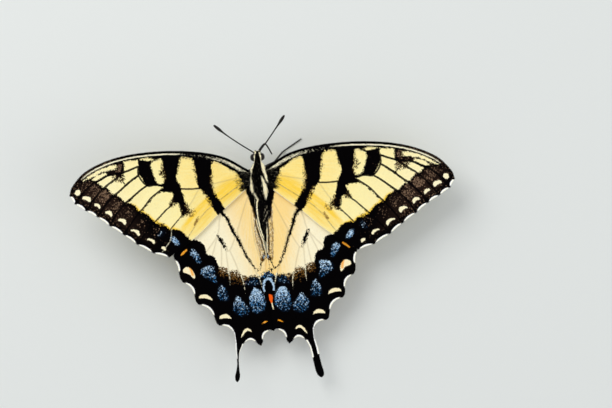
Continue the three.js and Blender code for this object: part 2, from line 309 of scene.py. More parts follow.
# veins, from the wing's root to its margin: line, half width of the dark line over it, how far it stands up
FORE_VEINS = [
    ([(3, 5), (8, 7.3), (16, 10), (24, 11.2), (31, 10.6), (33.6, 9.8)], 0, 1),
    ([(33.6, 9.8), (36, 9), (38.3, 8.4), (42, 8.1), (44.5, 7), (47, 6), (50, 3.4), (52.1, 1)], 0.28, 0.8),
    ([(38.3, 8.4), (40, 7), (42.5, 5.5), (44.5, 4), (47, 1.4), (49.2, -1.2)], 0.27, 0.8),
    ([(33.8, 7.3), (36, 6), (38, 4.5), (40, 3), (41.5, 2), (44, -0.4), (46.2, -3.2)], 0.28, 0.8),
    ([(31.8, 4.2), (33.8, 3), (36, 1.4), (38, 0), (39, -0.9), (41, -3), (43, -6)], 0.27, 0.8),
    ([(27.5, 3), (29, 2), (31, 0.6), (33, -1.6), (34.5, -3), (37, -5.8), (39.4, -8.8)], 0.23, 0.8),
    ([(23.5, 2.6), (25.6, -1.8), (27, -3), (29, -4.8), (30.4, -6), (33, -8.6), (36, -11.8)], 0.2, 0.8),
    ([(17.2, 2.2), (17.9, 1.3), (18.9, -0.3), (20, -1.8), (21.5, -3.5)], 0, 0.8),
    ([(21.5, -3.5), (23.4, -5.6), (26, -8.2), (28.6, -11.4), (31.7, -14.7)], 0.16, 0.8),
    ([(5, 2.6), (10, -0.5), (15.2, -3.8), (16.7, -5.1), (18.3, -6.7), (19.7, -8.6), (21.4, -10.8),
      (23.8, -13.2), (27.4, -16.3)], 0.04, 0.7),
    ([(3.5, 4.4), (6, 4.1), (10, 3.5), (14, 2.9)], 0, 1),
    ([(14, 2.9), (17.7, 2.1), (22, 2.4), (25.5, 3.2), (27, 3.6), (29.5, 4.2), (31.8, 4.2), (33.8, 7.3),
      (33.6, 9.8)], 0.23, 1),
    ([(24, 11.2), (34, 11.9), (42, 10.9), (48, 8.4), (51.6, 5.4)], 0, 0.5),
]
HIND_VEINS = [
    ([(4, 1), (9, -2.5), (12.3, -6.5), (13.3, -11), (16.6, -15.3), (21, -19.5), (24.8, -22.4)], 0, 0.8),
    ([(6, 1), (14, -3), (20.5, -9.5), (25.9, -16.6)], 0, 0.8),
    ([(13.4, -11.4), (15.5, -17), (18, -23), (21.1, -29)], 0, 0.8),
    ([(12.6, -13.4), (13.2, -20), (14.4, -28), (15.9, -36)], 0, 0.8),
    ([(11.6, -15.2), (11.4, -22), (11.2, -30), (11.3, -38), (11.2, -47), (11.8, -52.5)], 0, 0.8),
    ([(10.5, -16), (8.6, -22), (7.4, -29.5), (5.8, -37), (4.5, -43)], 0, 0.8),
    ([(8, -11), (5.4, -19), (3.3, -24), (2.3, -29), (1.6, -35), (1.2, -39)], 0, 0.8),
    ([(3, 1), (5.6, -5), (8, -11), (10.5, -16), (11.6, -15.2)], 0, 0.8),
    ([(3, -2), (3.6, -8), (3.3, -14), (2, -20)], 0, 0.6),
]
VEINS = {"forewing": FORE_VEINS, "hindwing": HIND_VEINS}

# ---------------------------------------------------------------- wing markings
# Each maker returns, for spots on a wing's plan, the fields that its finish reads. Lengths are in millimetres
# and positive inside a marking; shares run from 0 to 1. An ellipse is X, Y, two radii, turn and weight, and a
# drawn line is its points and its half widths at the two ends.

FORE_FIELDS = [
    # from the root to the first stripe
    [(3.8, 4.3), (8, 6.2), (9.5, 7.6), (11, 8.6), (12.9, 9.5), (13.4, 8), (13.3, 6.5), (13.6, 4), (13.4, 1.5),
     (12.7, -0.5), (11.6, -2.4), (10.6, -4.4), (9, -6), (2.6, -1), (3, 0), (3, 2)],
    # between the first and second stripes, down to the trailing edge
    [(18.4, 10.7), (20.2, 11), (21.8, 11.3), (22.2, 9.5), (22.8, 7.6), (23.4, 5.6), (23.1, 4.3), (22.4, 3.4),
     (22.3, 2.2), (21.8, 0.3), (21.5, -1.5), (20.9, -3), (20.2, -4.3), (21.6, -5), (23, -5.6), (24, -6.2),
     (25.6, -7.8), (26.2, -8.5), (24.8, -8.7), (23, -9.4), (22.4, -10.6), (21, -11.9), (19.8, -13.4),
     (16.6, -10.8), (12.2, -6.8), (13.4, -4.8), (14.4, -3), (15.4, -0.8), (16.6, 1.2), (17.6, 2.4), (17.8, 5),
     (18.2, 8)],
    # the spot inside the cell
    [(27, 11.5), (29, 11), (30.2, 10.2), (29.9, 8.2), (29.4, 6.5), (29, 4.8), (27.6, 4.2), (26.7, 4.6),
     (26.8, 6.5), (27.3, 8), (26.9, 10)],
]
FORE_CELLS = [
    # by the leading edge
    [(29.2, 11.4), (30.3, 11.9), (31.6, 11.95), (33, 11.7), (31.8, 11.3), (30.3, 11.1)],
    [(33.6, 11.6), (37.4, 11.6), (37.5, 8.7), (33.6, 9.8)],
    [(39.6, 10.8), (44, 10.6), (48, 9.1), (50, 7), (47.4, 7.6), (44, 9.2), (40, 9.6)],
    [(42.5, 8.4), (43, 8.9), (45.5, 8.3), (46.8, 7.2), (45.8, 6.9), (43.9, 7.6)],
    # between the outer veins
    [(33.7, 9.6), (37.5, 8.5), (38.4, 7), (37.6, 5.2), (33.7, 7.3)],
    [(40.4, 8), (42.5, 7.8), (45.2, 6.3), (43.6, 4.7), (41.3, 5.9), (40.3, 6.8)],
    [(38, 5.2), (39.5, 7), (43, 4.9), (41.7, 3.2), (40.7, 2.2), (39.4, 3.3), (37.9, 4.5)],
    [(31.9, 4.1), (33.5, 7.3), (35.5, 6), (38, 4.3), (40.2, 2.4), (38.7, 0.7), (38, -0.2), (36, 1.5),
     (33.8, 3.1)],
    [(27.2, 3.3), (28.8, 3.9), (30.1, 4.1), (32, 3.9), (34, 2.8), (37.3, -0.1), (35.4, -1), (34.8, -2.4),
     (34, -3.1), (32, -0.8), (30, 1.2), (28.3, 2.4)],
    [(24.5, 1.3), (26, 1.9), (28, 2.1), (29.7, 1.2), (31.8, -0.8), (33.7, -3), (32, -4), (30.9, -5.6),
     (30.2, -6.3), (28.5, -4.5), (26.3, -2.5), (25.7, -1.2), (24.9, 0.1)],
    [(23.4, -1.5), (25.8, -2.1), (27.7, -3.8), (30.3, -6.3), (28.8, -6.8), (27.5, -7.4), (26.4, -8.8),
     (25.5, -8.1), (24, -6.5), (22.9, -5.3), (23.1, -3.6)],
]
FORE_SPOTS = [
    [(50.3, 4.9), (51.5, 4.9), (52, 3.7), (51, 3.1), (50.2, 3.8)],
    [(47.6, 2.6), (49.5, 3.1), (50.1, 2.2), (49, 1.9), (47.9, 0.9), (47.5, 1.6)],
    [(45.3, 0.4), (46.5, 0.8), (46.9, 0.1), (46, -0.3), (45.4, -1.2), (45, -0.5)],
    [(42.2, -1.9), (43.6, -1.6), (44.3, -2.5), (43.1, -2.6), (42.4, -3.8), (41.9, -2.9)],
    [(38.6, -4.4), (40.3, -4.1), (40.9, -4.9), (39.7, -5), (38.9, -6.4), (38.2, -5.4)],
    [(35.2, -7.9), (37, -7.4), (37.6, -7.9), (36.2, -8.3), (35.3, -9.9), (34.8, -9)],
    [(31.2, -10.9), (32.9, -10.3), (33.3, -10.9), (32.1, -11.2), (31.4, -12.4), (30.9, -11.8)],
    [(28.3, -13.2), (29.3, -13), (29.4, -13.6), (28.8, -14.1), (28.4, -14.5), (28, -14)],
]
FORE_PALE_ROOT = ([-2, 0, 1, 2, 3, 4, 5], [3.4, 4.4, 4.8, 4.8, 5.2, 5.7, 6.3])  # Y, and X where yellow starts
RIGHT_ROOT_SHIFT = 0.9
FORE_STUB = ([(22.1, -1.2), (21.5, -2.6), (20.8, -4.2)], 0.65, 0.65)
FORE_NICKS = [(26.9, 7, 1.1, 0.6, 30, 0.5), (39.7, 7.4, 1.9, 1, 25, 0.5)]
FORE_SMUDGES = [
    (39.1, 10, 1.3, 1.1), (39.4, 7.3, 2.2, 1.9, 20), (25, -1.6, 1.6, 2), (28.6, -6.9, 2.5, 0.9, -40),
    (21.2, -3.6, 2.2, 3), (20.2, 7, 3.4, 5), (14.5, 1, 2.4, 7, 10), (27, 7.4, 1.5, 3.5),
]
# golden patches by the root and along the trailing edge: partly the wing's own richer yellow, partly painted
# light, the deeper gold of light shining through both wings where the forewing lies over the hindwing
FORE_GOLD_AND_LAP_LIGHT = [(9, 1, 9, 4, -30, 0.55), (18, -6.5, 11, 3.4, -42, 0.4), (12.5, 6, 8, 4, 30, 0.12)]
FORE_STREAK = [(15.2, -1.2), (17.4, -2.9), (19.4, -4.7), (21, -6.5), (22.8, -8.6)]
FORE_DUSK = [
    (47, 5, 2.4, 1.7, -48, 0.6), (43.6, 2.4, 2.2, 1.6, -48, 1.8), (45.2, 3.6, 1.6, 1.4, -48, 1.2),
    (40.6, -0.6, 2.2, 1.8, -48, 1), (37.4, -3, 2.2, 1.8, -48, 0.4), (33.8, -6, 2.2, 1.7, -48, 0.2),
    (30, -8.6, 2, 1.4, -48, 0.4), (39, 9.9, 1.5, 1.4, -48, 1.6), (38.6, 7, 1.2, 1.2, -48, 1.2),
]
FORE_BLUE = [(25.3, -12, 2, 0.9, 52, 1.6), (28.9, -9.4, 1.8, 1.1, -50, 0.25)]
FORE_OCHRE = [  # with where the edge starts and ends
    (19.7, -4.5, 1.5, 1.2, -50, 0.42, -0.2, 0.6), (19, -7, 1.5, 0.42, -58, 0.95, -0.2, 0.5),
    (20.1, -5.3, 0.8, 0.4, -20, 0.9, -0.2, 0.6),
]
FORE_FLASH = (4.1, 5.4, 0.6, 0.3, 20, 1.6)
EDGE_LINE_AT, EDGE_LINE = 0.85, ([20, 23, 26, 46, 49, 50], [0, 1, 1.6, 1.4, 0.7, 0])  # X, and how strong
ROOT_BAND = ([3, 4, 5, 9, 13, 15, 22], [0, 1, 0.8, 0.6, 0.3, 0.12, 0])
SCRATCH = ([(26, -8.5), (26.3, -10.5), (26.9, -12), (28.3, -13.6), (29.3, -14.8)], 0.09)
HIND_PALE = [
    (20.5, -11.4), (19.6, -12.3), (18.5, -12.7), (17.4, -13.6), (17.1, -15.2), (17, -16.6), (16, -16.8),
    (15, -17.3), (14.4, -18.5), (14.1, -20), (13.6, -20.9), (12.5, -21.2), (11.8, -22), (10.6, -22.2),
    (9.4, -22.4), (8, -23.5), (6.5, -24), (5, -23.7), (3.6, -24), (2.6, -24), (1.8, -23.3), (0.6, -22.9),
    (-2, -22.6), (-2, -8), (0, 4), (8, 4), (16, 0), (21, -6),
]
HIND_LUNULES = [  # outline, and how orange it is
    ([(24.4, -15.9), (23.3, -14.9), (22.3, -14.3), (22.2, -14.9), (23, -15.6), (24.1, -16.3)], 0.5),
    ([(24.1, -20.9), (24, -20), (23.2, -19.5), (22.2, -19.5), (21.3, -20.5), (20.7, -21.9), (20.9, -23.1),
      (21.6, -22.6), (22.2, -21.7), (23.1, -21.3)], 0.05),
    ([(20.5, -28.6), (20.2, -27.8), (19.2, -27.5), (18, -27.7), (17, -28.4), (16.4, -29.6), (17.4, -29.2),
      (18.6, -28.7), (19.8, -28.6)], 0.05),
    ([(15.4, -34.9), (15, -34), (13.9, -33.6), (12.9, -33.7), (12.1, -34.4), (11.6, -35.3), (12.8, -34.9),
      (14, -34.8)], 0.03),
    ([(9.8, -41), (9.3, -39.4), (8.6, -38.6), (7.9, -38.1), (7, -38.4), (6.3, -39.4), (6.8, -39.4),
      (7.6, -38.9), (8.3, -39.3), (9, -40.2)], 0.03),
    ([(3.8, -37.6), (2.9, -36.8), (1.9, -36.6), (1.8, -37), (2.8, -37.3)], 0.5),
]
ANAL_SPOT = [
    (0.1, -29.6), (1.35, -29.7), (1.45, -30.4), (1.2, -31.6), (0.95, -32.4), (0.6, -31.6), (0.1, -30.4),
]
ANAL_THREAD = [(0.95, -31.8), (1.15, -33.7)]
HIND_CLOUDS = [  # patches of light blue scales, and how dense they are at the upper and the lower end
    ([(21.4, -14.9), (20.5, -14.6), (19.9, -15.2), (19.3, -16.2), (18.8, -17.4), (18.6, -18.7), (19.4, -19.1),
      (20.2, -18), (21, -16.8), (21.8, -15.8)], (0.8, 0.5)),
    ([(17.6, -19.7), (16.2, -19.6), (15.3, -20), (15.2, -21.5), (15.1, -23.2), (14.6, -25.2), (15.6, -24.8),
      (16.6, -23.9), (18, -23.1), (19.3, -21.6), (18.9, -20.5)], (0.65, 0.3)),
    ([(13.8, -24.9), (13, -25.7), (12.3, -27.2), (11.9, -29), (11.8, -30.1), (13.2, -30.2), (14.6, -29.7),
      (15.3, -28.8), (15, -27.2), (14.5, -25.9)], (0.6, 0.25)),
    ([(9.6, -28.7), (8.7, -29.6), (7.9, -30.8), (6.9, -31.8), (6.3, -33), (6.6, -34.4), (8.6, -34.9),
      (10.4, -34.3), (11.3, -32.6), (11, -31), (10.3, -29.8)], (0.7, 0.2)),
    ([(4.8, -27.1), (3.9, -27.2), (2.9, -28.1), (2, -29.8), (1.7, -31.4), (2.1, -33.2), (3.4, -34.4),
      (5, -34.6), (6.2, -33.2), (6.5, -31), (6.1, -29.1), (5.5, -27.8)], (1, 0.32)),
]
BLUE_ARCH = [(0, -25.2), (1, -25.2), (1.55, -25.45), (1.9, -26.3), (2.05, -27.3), (1.95, -28.3)]
HIND_STRIPE = ([(12.8, -4), (12, -5), (10.5, -7), (9.5, -9.5), (8.7, -11.5), (8, -13), (7, -15.5), (6, -18),
                (4.8, -20.3)], 0.54, 0.26)
HIND_STRIPE_END = ([(4.8, -20.3), (4.1, -21.3), (3.2, -22.1)], 0.17, 0.12)
HIND_FORK = ([(2.3, -19.4), (2.45, -20.5), (2.6, -21.3), (2.95, -22)], 0.2, 0.14)
HIND_BAR = (12.5, -13.3, 2.4, 0.52, 64, 0.5)
FORK_HEAD, MIDDLE_SPOT = (1.9, -19.4, 0.5, 0.6, 0, 0.5), (1.85, -22.5, 0.4, 0.5, 0, 0.4)
BLUE_TUFT = (1.5, -18.6, 0.45, 0.9, 10)
LEFT_SHIFT = 0.3
# the gold line beside the body, as X for each distance down the wing
GOLD_DOWN = [0, 1, 2, 3, 4, 5, 7, 9, 10, 12, 14, 16, 18, 19.5, 21, 22]
GOLD_X = {
    "left": [4.3, 4.2, 3.75, 3.55, 3.4, 3.05, 2.8, 2.85, 3, 2.95, 2.75, 2.35, 2, 1.95, 2, 2],
    "right": [5.8, 5.6, 5.15, 4.85, 4.5, 4.35, 4.05, 3.95, 3.9, 3.8, 3.55, 3.2, 2.9, 2.7, 2.55, 2.5],
}
GOLD_ENDS_Y = -19.8
HIND_CUTS = [
    ([(11.3, -21.5), (11.25, -23.5), (11.2, -26)], 0.24, 0.04),
    ([(7.9, -23.4), (7.5, -25.5), (7.2, -28.6)], 0.2, 0.03),
    ([(3.3, -23.5), (2.9, -25), (2.4, -27.4)], 0.22, 0.04),
]
HIND_SOOT = [(12.6, -21.6, 2, 2), (9.7, -23.4, 2.2, 3), (7.4, -24.6, 1.8, 1.6)]
HIND_SEAM = [(1.6, -20), (1.65, -22.3)]
TAIL_WHITE, TAIL_WHITE_REACH = [
    [(11.55, -39.2), (11.5, -40.5), (11.5, -42.3), (11.85, -44.5), (12, -46.2)],
    [(9.2, -42.7), (9.55, -43.6), (9.9, -44.5), (10.1, -46), (10.2, -47.2)],
], 0.3
LUNULE_STREAK = ([(22, -19.6), (21.7, -20.5), (21.4, -21.8)], 0.35)
HIND_HAZE = [(1.2, -23.9, 2.4, 1.1, 0, 0.7), (4.9, -25.4, 2.6, 1.5, 0, 0.45)]

RIB_WIDTH = 0.17
FRINGE_OUT = 0.3  # the fringe's white starts this far outside the margin
UNMARKED = {"dusk": 0, "brown": 0, "flecks": 0, "amber": 0, "worn": NOWHERE}


def patches(spots, outlines, rounds):
    return [patch(spots, ring, rounds) for ring in outlines]


def ribs(spots, kind):
    """Distance to the nearest vein, the dark lines over the veins, and how far the veins stand up."""
    nearest = np.full(len(spots), np.inf)
    dark = np.full(len(spots), NOWHERE)
    stand = np.zeros(len(spots))
    for line, half, height in VEINS[kind]:
        distance = away(spots, through(line, 3))
        nearest = np.minimum(nearest, distance)
        stand = np.maximum(stand, height * np.exp(-((distance / RIB_WIDTH) ** 2)))
        if half:
            dark = np.maximum(dark, half - distance)
    return {"rib": nearest, "vein": dark, "stand": stand}


def crescents(spots, kind, trim, wide):
    """White fringe scales in a margin's notches, wide at their middles."""
    field = np.full(len(spots), NOWHERE)
    t = np.linspace(trim, 1 - trim, 9)
    share = np.clip((t - trim) / (1 - 2 * trim), 0, 1)[:, None]
    for ends_and_depth in NOTCHES[kind]:
        edge, inward = hollowed(*ends_and_depth, t)
        belly = inward * wide * np.sin(math.pi * share) ** 0.5
        ring = np.vstack([edge - inward * FRINGE_OUT, (edge + belly)[::-1]])
        field = np.maximum(field, within(spots, ring))
    return field


def rays(spots, root):
    """Each spot's direction and distance from the wing's root, as lengths: streaks run along them."""
    x, y = (spots - root).T
    return {"ray": np.arctan2(y, x) * 18, "reach": np.hypot(x, y)}


def fore_marks(spots, side):
    x, y = spots.T
    shift = RIGHT_ROOT_SHIFT if side == "right" else 0
    costa = away(spots, through(FORE_COSTA, 4))
    margin = away(spots, FORE_TIPS)
    root = shift + np.interp(y, *FORE_PALE_ROOT)
    pale = joined(patches(spots, FORE_FIELDS, 1) + patches(spots, FORE_CELLS, 0))
    cut = np.maximum(stroke(spots, *FORE_STUB), blobs(spots, FORE_NICKS))
    pale = np.minimum.reduce([pale, costa - 1.5, x - root, -cut])
    soft = 0.12 + 0.5 * np.clip(blobs(spots, FORE_SMUDGES) * 1.8, 0, 1)
    warm = 0.12 + 0.3 * smoothstep(27, 14, x - (y + 6) * 0.3)
    # partly painted light: deeper gold where the forewing lies over the hindwing, as if lit through both
    # wings
    warm = warm + sum(glow(spots, *row) for row in FORE_GOLD_AND_LAP_LIGHT)
    warm = warm + 0.5 * smoothstep(-0.6, 0.4, stroke(spots, FORE_STREAK, 0.5))
    rim = smoothstep(0.75, 0.1, pale) * smoothstep(0.3, -1.2, y) * smoothstep(22, 25, x) * (margin > 5.6)
    warm = warm + 0.9 * rim * smoothstep(9.5, 8, margin)
    outside = 0.1 + 0.9 * smoothstep(-0.4, -1.2, pale)
    dusk = np.clip(blobs(spots, FORE_DUSK) * outside * 1.3, 0, 1)
    brown = smoothstep(33, 42, x - y * 0.3) * smoothstep(0.9, 2.4, margin) * outside * smoothstep(53, 48, x)
    line = smoothstep(0.22, 0.08, np.abs(costa - EDGE_LINE_AT)) * np.interp(x, *EDGE_LINE)
    band = smoothstep(0.55, 0.8, costa) * smoothstep(1.7, 1.25, costa) * np.interp(x, *ROOT_BAND)
    flash = blob(spots - (shift, 0), *FORE_FLASH)
    marks = {
        **UNMARKED, **ribs(spots, "forewing"), **rays(spots, (1, 6)),
        "pale": pale, "soft": soft, "warm": warm,
        "dusk": dusk, "brown": brown, "blue": np.clip(blobs(spots, FORE_BLUE), 0, 1), "light": 0.7,
        "cream": joined(patches(spots, FORE_SPOTS, 1)) - 0.05,
        "fringe": crescents(spots, "forewing", 0.06, 0.42),
        "dust": np.maximum.reduce([line, band, flash]), "margin": margin,
        "flecks": smoothstep(24, 36, x - y * 0.2) * (0.35 + 0.65 * smoothstep(36, 42, x)),
        "gilt": np.clip(np.maximum.reduce([glow(spots, *row) for row in FORE_OCHRE]), 0, 1),
    }
    if side == "left":
        marks["worn"] = stroke(spots, *SCRATCH)
    return marks


def lunules(spots, hidden):
    """The cream spots along the margin and the orange one by the body, and how orange each is."""
    cream = np.full(len(spots), NOWHERE)
    amber = np.zeros(len(spots))
    for ring, orange in HIND_LUNULES:
        field = patch(spots, ring, 1)
        amber = np.where(field > cream, orange, amber)
        cream = np.maximum(cream, field)
    amber = np.maximum(amber, 0.42 * smoothstep(-0.25, 0.25, stroke(spots, *LUNULE_STREAK)))
    cream = cream - 0.05
    anal = patch(spots, ANAL_SPOT, 1) - hidden
    thread = 0.15 - away(spots, ANAL_THREAD) - hidden
    amber = np.where(anal > np.maximum(cream, thread), 1.0, np.where(thread > cream, 0, amber))
    return {"cream": np.maximum.reduce([cream, anal, thread]), "amber": amber}


def blue_clouds(spots, tuft):
    """How thickly blue scales lie, and how light they are."""
    y = spots[:, 1]
    blue = np.zeros(len(spots))
    light = np.full(len(spots), 0.3)
    for ring, (densest, sparsest) in HIND_CLOUDS:
        tops = np.array(ring)[:, 1]
        share = smoothstep(-0.3, 0.5, patch(spots, ring))
        rise = np.clip((y - tops.min()) / np.ptp(tops), 0, 1)
        light = np.where(share > blue, rise, light)
        blue = np.maximum(blue, share * (sparsest + (densest - sparsest) * rise))
    arch = smoothstep(-0.15, 0.15, stroke(spots, BLUE_ARCH, 0.42, 0.22))
    light = np.where(tuft > 0, 0.8, np.where(arch > blue, 0.9, light))
    blue = np.maximum.reduce([blue, arch, blobs(spots, HIND_HAZE), 1.2 * tuft])
    return {"blue": np.clip(blue, 0, 1), "light": light}


def hind_marks(spots, side):
    x, y = spots.T
    left = side == "left"
    hidden = -NOWHERE if left else 0  # the marks by the body show on the wing that lies on top
    moved = spots + (LEFT_SHIFT if left else 0, 0)
    stripe = np.maximum(stroke(spots, *HIND_STRIPE_END), stroke(spots, *HIND_STRIPE))
    bar = blob(spots, *HIND_BAR)
    strip = np.where(y > GOLD_ENDS_Y, np.interp(-y, GOLD_DOWN, GOLD_X[side]) - x, -1)
    inner = away(spots, through(HIND_INNER[side], 6))
    inner_line = 0.19 - np.abs(inner - 0.5) + NOWHERE * (y > -8) + NOWHERE * (y < -18)
    tuft = blob(moved, *BLUE_TUFT)
    ink = np.maximum.reduce([
        strip - 3 * smoothstep(-7, -10.5, y), inner_line,
        blob(moved, *FORK_HEAD), blob(spots, *MIDDLE_SPOT) - hidden,
    ])
    pale = np.minimum(patch(spots, HIND_PALE), -joined([stripe, stroke(moved, *HIND_FORK), bar, ink], 0.2))
    sooty = smoothstep(0, 0.7, blobs(spots, HIND_SOOT))
    soft = 0.05 + 1.4 * sooty + 0.3 * smoothstep(8.5, 6.5, x) * smoothstep(-21, -23, y)
    soft = soft + 0.16 * smoothstep(-0.5, 0, np.maximum(stripe, bar))
    shift, most = (0, 0.8) if left else (1.8, 0.95)
    warm = 0.08 + most * smoothstep(13 + shift, 3 + shift, x - (y + 12) * 0.3)
    pale = pale - 0.45 * sooty
    between = smoothstep(-4, -1, pale) * smoothstep(0.9, 0, pale)
    gilt = np.maximum.reduce([
        np.clip(1.2 * blobs(spots, HIND_SOOT), 0, 0.42) * between,
        smoothstep(0.3, 0.12, np.abs(strip - 0.03)) * smoothstep(-4, -6, y) * smoothstep(-21, -19, y),
        0.45 * smoothstep(0.1, 0.3, strip) * smoothstep(-8, -9.5, y),
        (0 if left else 0.8) * smoothstep(0.2, 0.05, away(spots, HIND_SEAM)),
    ])
    white = [TAIL_WHITE_REACH - away(spots, edge) for edge in TAIL_WHITE]
    cuts = np.maximum.reduce([stroke(spots, *cut) for cut in HIND_CUTS])
    edge = np.vstack([*HIND_LOBES[:TAIL_LOBE + 1], TAIL_FOOT[-1:], HIND_LOBES[-2], HIND_LOBES[-1]])
    return {
        **UNMARKED, **ribs(spots, "hindwing"), **rays(spots, (3, 2)), **lunules(spots, hidden),
        **blue_clouds(spots, tuft), "pale": np.where(tuft > 0, np.minimum(pale, -0.1), pale), "soft": soft,
        "warm": warm, "gilt": gilt, "dust": smoothstep(-0.06, 0.12, cuts) * 0.75,
        "fringe": np.maximum.reduce([crescents(spots, "hindwing", 0.03, 0.44), *white]),
        "margin": away(spots, edge) * smoothstep(-43.5, -41, y),
    }


MARKS = {"forewing": fore_marks, "hindwing": hind_marks}

# ---------------------------------------------------------------- materials


class Shade:
    """A number that varies over a surface; Python's operators on it add Math nodes."""

    def __init__(self, finish, socket):
        self.finish, self.socket = finish, socket

    def math(self, operation, first, second=0.0, clamp=False):
        settings = {"operation": operation, "use_clamp": clamp}
        return self.finish.node("ShaderNodeMath", settings, {0: first, 1: second})

    def __add__(self, other):
        return self.math("ADD", self, other)

    def __sub__(self, other):
        return self.math("SUBTRACT", self, other)

    def __rsub__(self, other):
        return self.math("SUBTRACT", other, self)

    def __mul__(self, other):
        return self.math("MULTIPLY", self, other)

    def __truediv__(self, other):
        return self.math("DIVIDE", self, other)

    __radd__ = __add__
    __rmul__ = __mul__

    def clipped(self):
        """Held between 0 and 1."""
        return self.math("ADD", self, 0, clamp=True)

    def least(self, other):
        return self.math("MINIMUM", self, other)

    def most(self, other):
        return self.math("MAXIMUM", self, other)


class Finish:
    """A material under way: its nodes feed one Principled shader."""

    def __init__(self, name, constants):
        self.material = bpy.data.materials.new(name)
        self.material.use_nodes = True
        self.tree = self.material.node_tree
        self.shader = self.tree.nodes["Principled BSDF"]
        for socket, value in constants.items():
            self.shader.inputs[socket].default_value = value

    def node(self, kind, settings, sockets, output=0):
        made = self.tree.nodes.new(kind)
        for name, value in settings.items():
            setattr(made, name, value)
        for socket, value in sockets.items():
            self.feed(made.inputs[socket], value)
        return Shade(self, made.outputs[output])

    def feed(self, socket, value):
        if isinstance(value, Shade):
            self.tree.links.new(value.socket, socket)
        else:
            socket.default_value = value

    def set(self, **sockets):
        for name, value in sockets.items():
            self.feed(self.shader.inputs[name.replace("_", " ")], value)

    def field(self, name):
        """A number kept on the piece's own vertices."""
        return self.node("ShaderNodeAttribute", {"attribute_name": name}, {}, "Fac")

    def place(self, stretch=(1, 1, 1)):
        """The spot on the piece, in millimetres, stretched along its axes."""
        spot = self.node("ShaderNodeTexCoord", {}, {}, "Object")
        scale = tuple(s / MM for s in stretch)
        return self.node("ShaderNodeVectorMath", {"operation": "MULTIPLY"}, {0: spot, 1: scale})

    def noise(self, size, stretch=(1, 1, 1), detail=2.0):
        sockets = {"Vector": self.place(stretch), "Scale": 1 / size, "Detail": detail}
        return self.node("ShaderNodeTexNoise", {}, sockets, "Fac")

    def streaks(self, width, length):
        """Noise drawn out from the wing's root along its veins."""
        spot = {0: self.field("ray") / width, 1: self.field("reach") / length}
        sockets = {"Vector": self.node("ShaderNodeCombineXYZ", {}, spot), "Scale": 1.0, "Detail": 3.0}
        return self.node("ShaderNodeTexNoise", {}, sockets, "Fac")

    def scales(self, size, stretch=(1, 1, 1)):
        """Cells the size of wing scales: three random numbers of each, and the height across one."""
        sockets = {"Vector": self.place(stretch), "Scale": 1 / size, "Randomness": 0.9}
        cell = self.node("ShaderNodeTexVoronoi", {}, sockets, "Color")
        split = self.node("ShaderNodeSeparateColor", {}, {"Color": cell})
        numbers = [Shade(self, socket) for socket in split.socket.node.outputs]
        return numbers, Shade(self, cell.socket.node.outputs["Distance"])

    def blend(self, share, under, over):
        return self.node("ShaderNodeMix", {"data_type": "RGBA"}, {0: share, 6: under, 7: over}, 2)

    def bump(self, height, depth_mm, strength=1.0):
        sockets = {"Height": height, "Distance": depth_mm * MM, "Strength": strength}
        return self.node("ShaderNodeBump", {}, sockets, "Normal")


def colour(red, green, blue):
    """A colour seen on a screen, as the light it reflects."""
    shares = [c / 255 for c in (red, green, blue)]
    return (*[c / 12.92 if c <= 0.04045 else ((c + 0.055) / 1.055) ** 2.4 for c in shares], 1)


NO_LIGHT = (0, 0, 0, 1)
BLACK = colour(2, 1, 2)
BORDER = colour(34, 22, 17)
CLOUD = colour(140, 112, 88)
PALE_YELLOW = colour(255, 243, 178)
RICH_YELLOW = colour(255, 212, 74)
HIND_CREAM = colour(255, 246, 212)
HIND_PEACH = colour(255, 219, 140)
VEIN_GREY = colour(176, 158, 122)
NIGHT_BLUE = colour(9, 28, 46)
BLUE = colour(58, 122, 176)
LIGHT_BLUE = colour(204, 231, 250)
AMBER = colour(255, 166, 18)
ORANGE = colour(246, 92, 22)
CREAM = colour(255, 246, 204)
WHITE = colour(255, 254, 252)
GILT = colour(120, 84, 38)
DUST = colour(240, 232, 198)
BLACK_HAIR_SHEEN = colour(40, 32, 30)
PALE_HAIR = colour(255, 253, 232), colour(248, 222, 138)
GOLD_HAIR = colour(206, 152, 62), colour(120, 86, 36)
GREY_HAIR = colour(196, 186, 160), colour(112, 104, 82)
SKIN_SHEEN, SKIN_YELLOW = colour(40, 32, 28), colour(236, 204, 116)
LEG_BROWN, FEELER_BROWN, EYE_BROWN = colour(54, 40, 30), colour(44, 34, 28), colour(44, 27, 22)
FLOOR_GREY = colour(226, 228, 224)

SCALE_SIZE, CLUMP_SIZE = 0.12, 0.25  # mm across a wing scale, and a clump of scales of one colour
SCALE_STRETCH, SCALE_BUMP, FACET_SIZE = (1, 0.75, 1), 0.015, 0.05
CLOUD_SIZE, STREAK_WIDTH, STREAK_LENGTH = 1.6, 0.5, 5
VEIN_SHADE = 0.32  # how far to each side of a vein its shade reaches
UNDER_SPOTS, UNDER_BLUE, UNDER_ORANGE = 2.1, 4.6, 6.6  # how far in from the margin these rows lie


def scaled_edge(field, jitter, soft, sharp=0.07):
    """1 inside a marking, its edge broken up scale by scale."""
    return ((field + (jitter - 0.5) * soft) / sharp + 0.5).clipped()


def sprinkled(share, lot):
    """1 on that share of the scales, each scale having drawn its own lot."""
    return ((share * 1.1 - 0.05 - lot) * 10 + 0.5).clipped()


def squared_from(margin, row):
    """The square of how far a spot is from a row along the margin."""
    return (margin - row) * (margin - row)


def wing_ground(name, gloss):
    """What both sides of a wing start from: each scale's three numbers and height, clouds and streaks."""
    finish = Finish(name, {"Specular IOR Level": gloss})
    numbers, height = finish.scales(SCALE_SIZE, SCALE_STRETCH)
    cloud, streak = finish.noise(CLOUD_SIZE, detail=4), finish.streaks(STREAK_WIDTH, STREAK_LENGTH)
    return finish, numbers, height, cloud, streak


def wing_cover(finish, base, roughness, first, height):
    finish.set(Base_Color=base, Roughness=roughness + first * 0.2)
    finish.set(Normal=finish.bump(height * -0.6 + first * 0.5, SCALE_BUMP))
    return finish.material


